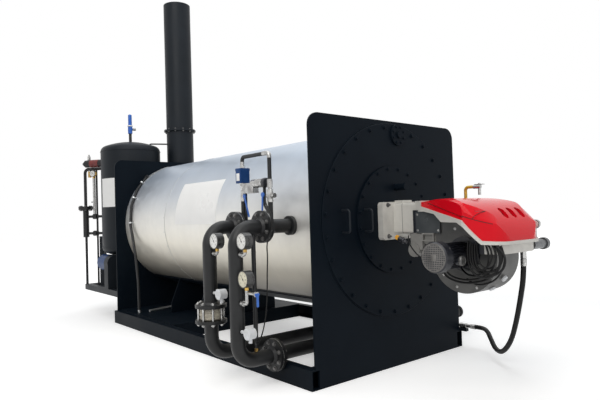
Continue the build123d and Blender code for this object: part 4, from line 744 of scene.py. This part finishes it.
# Long studs of the valve, with ridges of thread at their ends and nuts outside both flanges
valveStuds = {"centre": (-0.610, -1.055, 0), "circle": (0.080, 8, 22.5), "foot": 0.352, "top": 0.502,
              "flangeLow": 0.368, "flangeHigh": 0.486, "rod": 0.0068, "nut": 0.0118, "nutHeight": 0.0125,
              "seatChamfer": 0.0012, "endChamfer": 0.0015, "nutShare": 0.88, "tip": 0.002, "tipShare": 0.8,
              "ridges": (0.355, 0.359, 0.494, 0.498), "ridge": ((1.04, 0), (1.08, 0.001), (1.04, 0.002))}


def makeValveStuds():
    facts = valveStuds
    rod, nut, height = facts["rod"], facts["nut"], facts["nutHeight"]
    foot, top, tip, end = facts["foot"], facts["top"], facts["tip"], rod * facts["tipShare"]
    blanks = [turned(((end, foot), (rod, foot + tip), (rod, top - tip), (end, top)), 12)]
    chamfers = (facts["seatChamfer"], facts["endChamfer"])
    edge = nut * facts["nutShare"]
    for seat, low, high in ((facts["flangeHigh"], *chamfers),
                            (facts["flangeLow"] - height, *reversed(chamfers))):
        blanks.append(turned(((edge, seat), (nut, seat + low), (nut, seat + height - high),
                              (edge, seat + height)), 6))
    for level in facts["ridges"]:
        blanks.append(turned([(rod * share, level + rise) for share, rise in facts["ridge"]], 12))
    places = ringOf(facts["centre"], (0, 0, 1), *facts["circle"])
    finishPiece(copies(joinBlanks(blanks), places), "valveStuds", "steel", "fitting_steel")


makeValveStuds()

# Level column and chimney ring, both with upright bolts
uprightSize = {"bolt": (0.0085, 0.0075, (0.0115, 0.0018)), "stud": (0.005, 0.006)}
uprightBolts = {
    "columnBolts": {"centre": (-3.959, -0.716), "circle": (0.062, 8, 22.5), "top": 1.201, "foot": 1.165},
    "chimneyBolts": {"centre": (-3.256, 0.137), "circle": (0.164, 12, 15.0), "top": 2.044, "foot": 2.028},
}
for name, facts in uprightBolts.items():
    bolts = boltPairs({**uprightSize, **facts}, (*facts["centre"], facts["top"]),
                      (*facts["centre"], facts["foot"]), (0, 0, 1))
    finishPiece(bolts, name, "darkSteel", "fitting_steel")
print("bolts placed")


# Dial gauges: a rolled rim, a white dial, strokes and numbers, and a tapered needle
dial = {"rimProfile": ((0.0485, -0.004), (0.0506, -0.003), (0.0506, 0.0021), (0.04925, 0.0035),
                       (0.04641, 0.0035), (0.0455, 0.00245), (0.0455, 0.0004)),
        "faceProfile": ((0.0454545, 0.0), (0.0454545, 0.0009), (0.045045, 0.0012)), "face": 0.0012,
        "sweep": 270, "strokes": 31, "longEvery": 5, "strokesTo": 0.0415,
        "longStroke": (0.0355, 0.0011), "shortStroke": (0.03763, 0.0006), "strokeHeight": 0.0006,
        "numbers": ("0", "2", "4", "6", "8", "10", "12"), "numberRadius": 0.0285, "numberSize": 0.0105,
        "numberHeight": 0.00015,
        "needle": ((-0.012, -0.0016), (0.0, -0.0013), (0.034, -0.0003), (0.034, 0.0003), (0.0, 0.0013),
                   (-0.012, 0.0016)), "needleLow": 0.0015, "needleHigh": 0.0023, "needleAngle": 125,
        "hub": ((0.0042, 0.0012), (0.0042, 0.0028), (0.0034, 0.0033))}


def dialAngle(share):
    return math.radians(90 + dial["sweep"] / 2 - dial["sweep"] * share)


def numberBlank(words, place):
    letters = startBlank(bpy.ops.object.text_add, location=(0, 0, 0))
    letters.data.body = words
    letters.data.size = dial["numberSize"]
    letters.data.align_x = "CENTER"
    letters.data.align_y = "CENTER"
    letters.data.extrude = dial["numberHeight"]
    letters.data.resolution_u = 2
    bpy.ops.object.convert(target="MESH")
    blank = bpy.context.object
    blank.data.transform(place)
    return blank


def makeDialMarks():
    marks = []
    for step in range(dial["strokes"]):
        near, width = dial["longStroke" if step % dial["longEvery"] == 0 else "shortStroke"]
        stroke = boxBlank((dial["strokesTo"] - near, width, dial["strokeHeight"]),
                          ((dial["strokesTo"] + near) / 2, 0, dial["face"] + 0.0001), 0.0001, 1)
        stroke.data.transform(Matrix.Rotation(dialAngle(step / (dial["strokes"] - 1)), 4, "Z"))
        marks.append(stroke)
    for step, words in enumerate(dial["numbers"]):
        angle = dialAngle(step / (len(dial["numbers"]) - 1))
        place = (dial["numberRadius"] * math.cos(angle), dial["numberRadius"] * math.sin(angle),
                 dial["face"] + 0.0002)
        marks.append(numberBlank(words, Matrix.Translation(place)))
    pointer = joinBlanks([plateBlank(dial["needle"], dial["needleLow"], dial["needleHigh"]),
                          turned(dial["hub"], 16)])
    pointer.data.transform(Matrix.Rotation(math.radians(dial["needleAngle"]), 4, "Z"))
    return joinBlanks(marks + [pointer])


# Place of the case's front, the way it looks, its size over the model's, and its dial's finish
dialPlaces = {
    "rearGauge": ((-0.514, -1.079, 0.888), (0, -1, 0), 1.0, "dialWhite"),
    "frontGauge": ((-0.205, -1.079, 0.892), (0, -1, 0), 1.0, "dialWhite"),
    "lowGauge": ((-0.200, -1.079, 0.672), (0, -1, 0), 1.0, "dialCream"),
    "filterGauge": ((0.850, 0.289, 0.936), (0, -1, 0), 0.54, "dialWhite"),
    "vesselGauge": ((-3.8318, -0.6778, 1.573), (0.561, -0.828, 0), 0.74, "dialWhite"),
}
dialBlanks = (turned(dial["rimProfile"], 40), turned(dial["faceProfile"], 40), makeDialMarks())
for name, (place, direction, growth, finish) in dialPlaces.items():
    spot = facing(place, direction) @ Matrix.Scale(growth, 4)
    for blank, ending, look in zip(dialBlanks, ("Rim", "Dial", "Marks"), ("gaugeRim", finish, "dialInk")):
        finishPiece([copyTo(blank, spot)], name + ending, look, "instrument_steel")
for blank in dialBlanks:
    bpy.data.objects.remove(blank)
print("dials made:", len(dialPlaces))


# A thin sheet bent round an axis: a grid laid on the curve, then given its thickness
def bentSheet(span, angles, radius, thickness, axis="X", steps=48):
    sheet = startBlank(bpy.ops.mesh.primitive_grid_add, x_subdivisions=1, y_subdivisions=steps, size=2)
    for vertex in sheet.data.vertices:
        angle = math.radians(angles[0] + (angles[1] - angles[0]) * (vertex.co.y + 1) / 2)
        place = span[0] + (span[1] - span[0]) * (vertex.co.x + 1) / 2
        across, up = radius * math.cos(angle), radius * math.sin(angle)
        vertex.co = (place, across, up) if axis == "X" else (across, up, place)
    addWall(sheet, thickness)
    editAll()
    faceOutwards()
    return sheet


# Cladding: lap seam with its bead and screws, and a trim along the cradle's edges
shellTrim = {"axisHeight": 0.985, "radius": 0.625, "cradleAngle": 31, "steps": 96,
             "seam": {"span": (-2.166, -2.132), "proud": 0.0006, "thickness": 0.0016, "soften": 0.0005},
             "bead": {"span": (-2.136, -2.132), "proud": 0.0016, "thickness": 0.0022, "soften": 0.0007},
             "trim": {"spans": ((-3.028, -2.17), (-2.13, -0.012)), "half": 1.5, "proud": 0.0028,
                      "thickness": 0.0035, "soften": 0.0012},
             "screw": ((0.0048, -0.0006), (0.0052, 0.0006), (0.0044, 0.0019), (0.0022, 0.0026)),
             "screws": 25, "screwLine": -2.150, "screwMargin": 4, "screwProud": 0.0014}


def shellSheet(*facts):
    sheet = bentSheet(*facts)
    sheet.data.transform(Matrix.Translation((0, 0, shellTrim["axisHeight"])))
    return sheet


# Outward direction at an angle round the shell, and a place on it so far from the axis
def shellSpot(along, angle, away):
    turn = math.radians(angle)
    outward = Vector((0, math.cos(turn), math.sin(turn)))
    return Vector((along, 0, shellTrim["axisHeight"])) + outward * away, outward


def makeShellTrim():
    free = 90 - shellTrim["cradleAngle"]
    lowAngle, highAngle = -free, 180 + free
    reach = shellTrim["radius"]
    for strip, name, look, segments in (("seam", "claddingSeam", "claddingPaintedLight", 1),
                                        ("bead", "claddingBead", "trimSheet", 2)):
        facts = shellTrim[strip]
        band = shellSheet(facts["span"], (lowAngle, highAngle), reach + facts["proud"], facts["thickness"],
                          "X", shellTrim["steps"])
        softenEdges(band, facts["soften"], segments)
        finishPiece([band], name, look, "cladding")
    margin, count = shellTrim["screwMargin"], shellTrim["screws"]
    places = []
    for step in range(count):
        angle = lowAngle + margin + step * (highAngle - lowAngle - 2 * margin) / (count - 1)
        places.append(facing(*shellSpot(shellTrim["screwLine"], angle, reach + shellTrim["screwProud"])))
    finishPiece(copies(turned(shellTrim["screw"], 10), places), "claddingScrews", "trimSheet", "cladding")
    facts = shellTrim["trim"]
    strips = [shellSheet(span, (edge - facts["half"], edge + facts["half"]), reach + facts["proud"],
                         facts["thickness"], "X", 4)
              for edge in (lowAngle, highAngle) for span in facts["spans"]]
    trim = joinBlanks(strips)
    softenEdges(trim, facts["soften"])
    finishPiece([trim], "cladTrim", "blackPaint", "black_paint")


makeShellTrim()

# Two bare pale plates, one on the shell and one on the vessel
barePlates = {
    "shellSheet": ((0, 0, 0.985), "cladding", ((-1.925, -1.245), (146.0, 180.2), 0.6256, 0.0008, "X", 32)),
    "vesselSheet": ((-3.456, -0.375, 0), "black_paint",
                    ((1.178, 1.486), (266.5, 332.6), 0.3206, 0.0008, "Z", 40)),
}
for name, (centre, slot, facts) in barePlates.items():
    sheet = bentSheet(*facts)
    sheet.data.transform(Matrix.Translation(centre))
    finishPiece([sheet], name, "barePlate", slot)

# Clips that hold the conduit to the shell: a band round it, two ears and their screws
conduitClips = {"away": 0.6436, "clips": ((138.0, -2.944), (155.0, -2.910), (178.5, -2.863)), "slope": 0.18,
                "band": ((0.0139, -0.008), (0.0165, -0.007), (0.0165, 0.007), (0.0139, 0.008)),
                "ears": (0.003, 0.068, 0.016), "earSink": -0.0150,
                "screw": (0.004, 0.009, 0.009), "screwSpread": 0.026, "screwSink": -0.0125}


def makeConduitClips():
    facts = conduitClips
    blanks = [turned(facts["band"], 24, 0.0006), boxBlank(facts["ears"], (facts["earSink"], 0, 0), 0.0008)]
    for side in (-1, 1):
        blanks.append(boxBlank(facts["screw"], (facts["screwSink"], side * facts["screwSpread"], 0), 0.0018))
    places = []
    for angle, along in facts["clips"]:
        place, outward = shellSpot(along, angle, facts["away"])
        run = Vector((facts["slope"], -outward.z, outward.y)).normalized()
        axes = Matrix((outward, run.cross(outward), run)).transposed().to_4x4()
        places.append(Matrix.Translation(place) @ axes)
    finishPiece(copies(joinBlanks(blanks), places), "conduitClips", "trimSheet", "fitting_steel")


makeConduitClips()

# Pale cover strip over the conduit's top, bent round the rear course
conduitCover = {"span": (-2.990, -2.932), "angles": (106, 139), "radius": 0.6262, "thickness": 0.0036,
                "steps": 36, "soften": 0.0009,
                "screw": ((0.0042, -0.0005), (0.0045, 0.0005), (0.0038, 0.0016), (0.0018, 0.0022)),
                "screwAngles": (108, 122, 136), "screwMargin": 0.008, "screwProud": 0.0017}


def makeConduitCover():
    facts = conduitCover
    strip = shellSheet(facts["span"], facts["angles"], facts["radius"], facts["thickness"], "X",
                       facts["steps"])
    softenEdges(strip, facts["soften"])
    lines = (facts["span"][0] + facts["screwMargin"], facts["span"][1] - facts["screwMargin"])
    places = [facing(*shellSpot(along, angle, facts["radius"] + facts["screwProud"]))
              for angle in facts["screwAngles"] for along in lines]
    finishPiece([strip] + copies(turned(facts["screw"], 10), places), "conduitCover", "trimSheet",
                "fitting_steel")


makeConduitCover()
print("shell trimmed")


# Fan motor: cooling ribs, a round terminal cover, and the grille on the fan's end
fanMotor = {"axis": (0.620, 0.779), "ribs": 28, "ribThick": 0.0026, "ribFrom": 0.0655, "ribTo": 0.0735,
            "ribSpan": (-0.302, -0.112), "ribSoften": 0.0009, "fanFace": -0.385, "grilleRadius": 0.079,
            "holePitch": 0.0115, "holeSpan": 8, "holesFrom": 0.26, "holesTo": 0.90,
            "hole": ((0.0040, 0.0006), (0.0040, 0.0010), (0.0036, 0.0011)),
            "coverRadius": 0.0856, "screwDepth": 0.052, "screwAngles": (35, 125, 215, 305),
            "screw": (0.0042, 0.003, (0.0062, 0.001))}
motorCovers = {
    "terminalCover": {"radius": 0.025, "sides": 32, "places": (((0.716, -0.250, 0.756), (1, 0, 0)),),
                      "profile": ((1.07, -0.016), (1.10, -0.014), (1.10, -0.002), (1.02, 0.0015),
                                  (0.80, 0.0030), (0.76, 0.0016)),
                      "finish": ("darkSteel", "burner_black")},
    "fanGrille": {"radius": fanMotor["grilleRadius"], "sides": 48,
                  "places": (((0.620, fanMotor["fanFace"], 0.779), (0, -1, 0)),),
                  "profile": ((1, -0.001), (1, 0.0006), (0.985, 0.0014), (0.955, 0.0014), (0.945, 0.0008),
                              (0.22, 0.0008), (0.20, 0.0016)),
                  "finish": ("grilleGrey", "burner_black")},
}


def makeMotorRibs():
    axisX, height = fanMotor["axis"]
    low, high = fanMotor["ribSpan"]
    reach = fanMotor["ribTo"] - fanMotor["ribFrom"]
    rib = boxBlank((reach, fanMotor["ribThick"], high - low), (0, 0, 0), fanMotor["ribSoften"])
    places = ringOf((axisX, (low + high) / 2, height), (0, -1, 0), fanMotor["ribFrom"] + reach / 2,
                    fanMotor["ribs"])
    finishPiece(copies(rib, places), "motorRibs", "motorBlack", "burner_black")


def makeGrilleHoles():
    axisX, height = fanMotor["axis"]
    spot = facing((axisX, fanMotor["fanFace"], height), (0, -1, 0))
    edge, pitch, span = fanMotor["grilleRadius"], fanMotor["holePitch"], fanMotor["holeSpan"]
    places = []
    for column in range(-span, span + 1):
        for row in range(-span, span + 1):
            across, up = column * pitch, row * pitch
            if edge * fanMotor["holesFrom"] < math.hypot(across, up) < edge * fanMotor["holesTo"]:
                places.append(spot @ Matrix.Translation((across, up, 0)))
    finishPiece(copies(turned(fanMotor["hole"], 10), places), "grilleHoles", "motorBlack", "burner_black")


def makeCoverScrews():
    axisX, height = fanMotor["axis"]
    middle = Vector((axisX, fanMotor["fanFace"] + fanMotor["screwDepth"], height))
    places = []
    for angle in fanMotor["screwAngles"]:
        turn = math.radians(angle)
        outward = Vector((math.cos(turn), 0, math.sin(turn)))
        places.append(facing(middle + outward * fanMotor["coverRadius"], outward))
    finishPiece(copies(hexBolt(*fanMotor["screw"]), places), "fanCoverScrews", "darkSteel", "fitting_steel")


makeMotorRibs()
turnedPieces(motorCovers)
makeGrilleHoles()
makeCoverScrews()

# Flame sensor: a yellow knob on a dark body under the neck, with two straps; a strap is its size, its
# share of the way along the body and its shift from there
flameSensor = {"knob": (0.148, -0.118, 0.870), "bodyEnd": (0.216, -0.112, 0.838), "bodyRadius": 0.0165,
               "bodyProfile": ((0.7, 0.010), (1, 0.014), (1, 0.030), (0.82, 0.031), (0.82, 0.040),
                               (1.15, 0.041), (1.15, 0.054), (0.75, 0.056)), "bodyTip": 0.6,
               "knobFacing": (0.35, -0.93, 0),
               "knobProfile": ((0.006, -0.006), (0.015, -0.004), (0.01575, 0.006), (0.0135, 0.0095),
                               (0.005, 0.0105), (0.0045, 0.0095)),
               "straps": (((0.020, 0.046, 0.0028), (0, 0.010, 0), 0.42, (0, 0.034, 0.013)),
                          ((0.014, 0.052, 0.003), (0, 0, 0), 0.35, (0, 0.030, 0.010))),
               "strapSoften": 0.001}


def makeFlameSensor():
    start, end = Vector(flameSensor["knob"]), Vector(flameSensor["bodyEnd"])
    run = end - start
    turnedPiece("sensorBody", {"radius": flameSensor["bodyRadius"], "sides": 24, "soften": 0.0006,
                               "profile": (*flameSensor["bodyProfile"], (flameSensor["bodyTip"], run.length)),
                               "places": ((start, run),), "finish": ("motorBlack", "burner_black")})
    turnedPiece("sensorKnob", {"sides": 28, "profile": flameSensor["knobProfile"],
                               "places": ((start, flameSensor["knobFacing"]),),
                               "finish": ("knobYellow", "gas_yellow")})
    straps = []
    for size, centre, share, shift in flameSensor["straps"]:
        place = facing(start.lerp(end, share) + Vector(shift), (0, 0, 1))
        straps += copies(boxBlank(size, centre, flameSensor["strapSoften"]), [place])
    finishPiece(straps, "sensorStrap", "darkSteel", "fitting_steel")


makeFlameSensor()

# Louvres of the hood: a dark red floor in each slot, painted shade inside the slots
hoodLouvres = {"place": (0.842, 1.010), "across": (-0.044, 0.044, 0.132), "along": (0.77, 0, -0.64),
               "normal": (0.64, 0, 0.77), "turn": -20, "floor": (0.088, 0.042, 0.0012), "depth": 0.0150,
               "soften": 0.0004}


def makeLouvres():
    normal = Vector(hoodLouvres["normal"]).normalized()
    along = Vector(hoodLouvres["along"]).normalized()
    axes = Matrix((along, normal.cross(along), normal)).transposed().to_4x4()
    axes = axes @ Matrix.Rotation(math.radians(hoodLouvres["turn"]), 4, "Z")
    placeX, height = hoodLouvres["place"]
    places = [Matrix.Translation((placeX, across, height)) @ axes for across in hoodLouvres["across"]]
    floor = boxBlank(hoodLouvres["floor"], (0, 0, -hoodLouvres["depth"]), hoodLouvres["soften"])
    finishPiece(copies(floor, places), "louvreFloors", "redPaintedShade", "hood_red")


makeLouvres()

# Moulded lines of the hood: dark red strips, painted shade along the lines, that start beside it and are
# pressed onto its side
hoodLines = {"lines": (((0.744, 1.002), (0.886, 0.955)), ((0.802, 0.985), (0.832, 1.028)),
                       ((0.414, 1.080), (0.752, 0.994))),
             "startY": -0.30, "width": 0.0030, "thickness": 0.0012, "proud": 0.0006, "steps": 48}


def makeHoodLines():
    strips = []
    for (startX, startZ), (endX, endZ) in hoodLines["lines"]:
        strip = startBlank(bpy.ops.mesh.primitive_grid_add, x_subdivisions=hoodLines["steps"],
                           y_subdivisions=1, size=2)
        start = Vector((startX, hoodLines["startY"], startZ))
        run = Vector((endX, hoodLines["startY"], endZ)) - start
        side = Vector((run.z, 0, -run.x)).normalized() * hoodLines["width"] / 2
        for vertex in strip.data.vertices:
            vertex.co = start + run * (vertex.co.x + 1) / 2 + side * vertex.co.y
        wrap = strip.modifiers.new("wrap", "SHRINKWRAP")
        wrap.target = frame["nodes"]["burner_hood"]
        wrap.wrap_method = "PROJECT"
        wrap.use_project_y = True
        wrap.use_project_x = False
        wrap.use_project_z = False
        wrap.use_positive_direction = True
        wrap.use_negative_direction = False
        wrap.offset = hoodLines["proud"]
        bpy.ops.object.modifier_apply(modifier=wrap.name)
        addWall(strip, hoodLines["thickness"])
        strips.append(strip)
    finishPiece(strips, "hoodLines", "redPaintedShade", "hood_red")


makeHoodLines()

# Small screws of the panel, the rim and the volute: their plane, size and places (X, Z)
screwShares = {"height": 0.7, "washer": 1.5, "washerThick": 0.0012}
casingScrews = (
    (-0.105, 0.0052, ((0.300, 1.012), (0.300, 0.915), (0.452, 1.012), (0.452, 0.915))),
    (-0.090, 0.0058, ((0.500, 0.985), (0.560, 0.925), (0.452, 0.720), (0.470, 0.650), (0.560, 0.585),
                      (0.690, 0.590), (0.780, 0.655))),
)
casingPlugs = {
    "panelPlug": {"sides": 32, "places": (((0.364, -0.105, 0.978), (0, -1, 0)),),
                  "profile": ((0.0155, -0.001), (0.0155, 0.0010), (0.0145, 0.0018), (0.0125, 0.0018),
                              (0.0118, 0.0008), (0.004, 0.0008), (0.0035, 0.0016)),
                  "finish": ("casingGrey", "burner_silver")},
    "volutePorts": {"sides": 28, "places": (((0.797, 0.020, 0.640), (0.75, 0, -0.66)),
                                            ((0.720, 0.020, 0.577), (0.45, 0, -0.89))),
                    "profile": ((0.019, -0.002), (0.019, 0.006), (0.0165, 0.009), (0.010, 0.009),
                                (0.009, 0.005)),
                    "finish": ("whitePlastic", "burner_silver")},
}


def makeCasingScrews():
    screws = []
    for plane, size, spots in casingScrews:
        places = [facing((spotX, plane, spotZ), (0, -1, 0)) for spotX, spotZ in spots]
        washer = (size * screwShares["washer"], screwShares["washerThick"])
        screws += copies(hexBolt(size, size * screwShares["height"], washer), places)
    finishPiece(screws, "casingScrews", "steel", "fitting_steel")


makeCasingScrews()
turnedPieces(casingPlugs)
print("burner detailed")


# Nuts on the small pipes with a collar above: the foot's place, direction, radius and height
smallNuts = {
    "gaugeNuts": ("brass", "instrument_steel", (((-0.514, -1.055, 0.822), (0, 0, 1), 0.0125, 0.018),
                                                ((-0.205, -1.055, 0.826), (0, 0, 1), 0.0125, 0.018),
                                                ((-0.200, -1.055, 0.606), (0, 0, 1), 0.0125, 0.018))),
    "cableNut": ("knobYellow", "gas_yellow", (((-0.2925, -0.925, 0.265), (-1, 0, 0), 0.0095, 0.010),)),
    "branchNuts": ("brass", "fitting_steel", (((-0.307, -0.925, 0.232), (0, 0, -1), 0.0115, 0.014),)),
}


def nutBlank(radius, height):
    chamfer = radius * 0.86
    nut = turned(((chamfer, 0), (radius, 0.0014), (radius, height - 0.0014), (chamfer, height)), 6)
    collar = turned(((radius * 0.80, height - 0.001), (radius * 0.80, height + 0.004),
                     (radius * 0.70, height + 0.005)), 20)
    return joinBlanks([nut, collar])


for name, (look, slot, nuts) in smallNuts.items():
    made = []
    for place, direction, radius, height in nuts:
        made += copies(nutBlank(radius, height), [facing(place, direction)])
    finishPiece(made, name, look, slot)

# Sensor heads: a screwed lid with a ring of lugs and a raised centre
sensorLids = {"places": ((-0.175, -1.080, 0.360), (-0.478, -1.080, 0.560)),
              "lid": ((0.03193, -0.007), (0.03286, -0.006), (0.03286, 0.0010), (0.03038, 0.0030),
                      (0.01922, 0.0034), (0.01798, 0.0022), (0.0062, 0.0022), (0.00527, 0.0034)),
              "lug": (0.004, 0.0075, 0.006), "lugPlace": (0.03286, 0, -0.0025), "lugs": 6}


def makeSensorLids():
    count = sensorLids["lugs"]
    lug = boxBlank(sensorLids["lug"], sensorLids["lugPlace"], 0.0008)
    lugs = copies(lug, [Matrix.Rotation(math.radians(360 / count * step), 4, "Z") for step in range(count)])
    blank = joinBlanks([turned(sensorLids["lid"], 36)] + lugs)
    finishPiece(copies(blank, [facing(place, (0, -1, 0)) for place in sensorLids["places"]]), "sensorLids",
                "whitePlastic", "head_grey")


makeSensorLids()

# Switch box: a lid with four screws, and a bare plate on its front
switchBox = {"centre": (-0.610, -0.785), "size": (0.060, 0.076), "lid": (0.062, 0.078, 0.018),
             "lidHeight": 1.348, "screw": (0.0035, 0.0022, (0.0048, 0.0008)), "screwHeight": 1.3575,
             "screwShare": 0.38, "lidSoften": 0.0018, "plate": (0.036, 0.0012, 0.050),
             "plateHeight": 1.298, "plateProud": 0.0004, "plateSoften": 0.0004}


def makeSwitchBox():
    (middleX, middleY), (wide, deep) = switchBox["centre"], switchBox["size"]
    lid = boxBlank(switchBox["lid"], (middleX, middleY, switchBox["lidHeight"]), switchBox["lidSoften"])
    finishPiece([lid], "switchLid", "controlBlue", "control_blue")
    share = switchBox["screwShare"]
    places = [facing((middleX + side * wide * share, middleY + front * deep * share,
                      switchBox["screwHeight"]), (0, 0, 1)) for side in (-1, 1) for front in (-1, 1)]
    finishPiece(copies(hexBolt(*switchBox["screw"]), places), "switchScrews", "steel", "fitting_steel")
    plate = boxBlank(switchBox["plate"], (middleX, middleY - deep / 2 - switchBox["plateProud"],
                                          switchBox["plateHeight"]), switchBox["plateSoften"])
    finishPiece([plate], "switchPlate", "barePlate", "instrument_steel")


makeSwitchBox()

# Dark cap of the pressure unit, and the raised band round the body of the riser's valve
instrumentRounds = {
    "pressureCap": {"radius": 0.029, "sides": 30, "places": (((-0.345, -0.785, 1.246), (1, 0, 0)),),
                    "profile": ((1.04, -0.022), (1.07, -0.020), (1.07, -0.002), (0.92, 0.003),
                                (0.55, 0.004), (0.50, 0.002)),
                    "finish": ("motorBlack", "instrument_steel")},
    "valveBand": {"radius": 0.071, "sides": 48, "places": (((-0.610, -1.055, 0), (0, 0, 1)),),
                  "profile": ((0.99, 0.415), (1.045, 0.418), (1.045, 0.436), (0.99, 0.439)),
                  "finish": ("valveCream", "valve_cream")},
}
turnedPieces(instrumentRounds)

# Screw on the lever of the gas cock
leverScrew = {"place": (0.548, 0.205, 1.192), "bolt": (0.0065, 0.0045, (0.0095, 0.0012))}
finishPiece(copies(hexBolt(*leverScrew["bolt"]), [facing(leverScrew["place"], (0, 0, 1))]), "leverScrew",
            "steel", "fitting_steel")

# Collar of the relief valve, and the red band round the vessel's branch
vesselRounds = {
    "reliefCollar": {"radius": 0.0285, "sides": 32, "places": (((-3.456, -0.375, 2.081), (0, 0, 1)),),
                     "profile": ((1, 0), (1.02, 0.002), (1.02, 0.010), (1, 0.012)),
                     "finish": ("barePlate", "control_blue")},
    "branchBand": {"radius": 0.0425, "sides": 40,
                   "places": (((-3.456, -0.375, 1.690), (-0.8277, -0.5611, 0)),),
                   "profile": ((1, 0.412), (1.03, 0.413), (1.03, 0.462), (1.005, 0.464), (1.005, 0.468),
                               (1.03, 0.470), (1.03, 0.524), (1, 0.525)),
                   "finish": ("bandRed", "fitting_steel")},
}
turnedPieces(vesselRounds)
print("instruments and vessel detailed")


# Weld beads round the door ring, the vessel and the stack, slightly uneven: centre, direction, radius,
# steps and finish
weldBeads = {
    "doorRingWeld": ((0.006, 0, 0.985), (1, 0, 0), 0.649, 128, "platePaint"),
    "vesselTopWeld": ((-3.456, -0.375, 1.789), (0, 0, 1), 0.3205, 96, "blackPaint"),
    "vesselFootWeld": ((-3.456, -0.375, 0.738), (0, 0, 1), 0.3205, 96, "blackPaint"),
    "chimneyFootWeld": ((-3.256, 0.137, 2.028), (0, 0, -1), 0.1505, 72, "blackPaint"),
}
beadShape = {"radius": 0.0035, "sides": 7, "ripple": 0.0004, "smoothAngle": 60}


def makeWeld(name, centre, direction, reach, steps, look):
    bead = startBlank(bpy.ops.mesh.primitive_circle_add, vertices=beadShape["sides"],
                      radius=beadShape["radius"], location=(reach, 0, 0), rotation=(math.radians(90), 0, 0))
    bpy.ops.object.transform_apply(location=True, rotation=True, scale=True)
    editAll()
    bpy.ops.mesh.spin(steps=steps, angle=math.radians(360), center=(0, 0, 0), axis=(0, 0, 1), dupli=False)
    bpy.ops.mesh.select_all(action="SELECT")
    bpy.ops.mesh.remove_doubles(threshold=0.0001)
    faceOutwards()
    ripple = random.Random(name)
    most = beadShape["ripple"]
    for vertex in bead.data.vertices:
        away = Vector((vertex.co.x, vertex.co.y, 0)).normalized()
        vertex.co += away * ripple.uniform(-most, most)
        vertex.co.z += ripple.uniform(-most, most)
    bead.data.transform(facing(centre, direction))
    finishPiece([bead], name, look, "black_paint", beadShape["smoothAngle"])


for name, facts in weldBeads.items():
    makeWeld(name, *facts)
print("welds laid")


print("pieces made:", len(pieceNames))
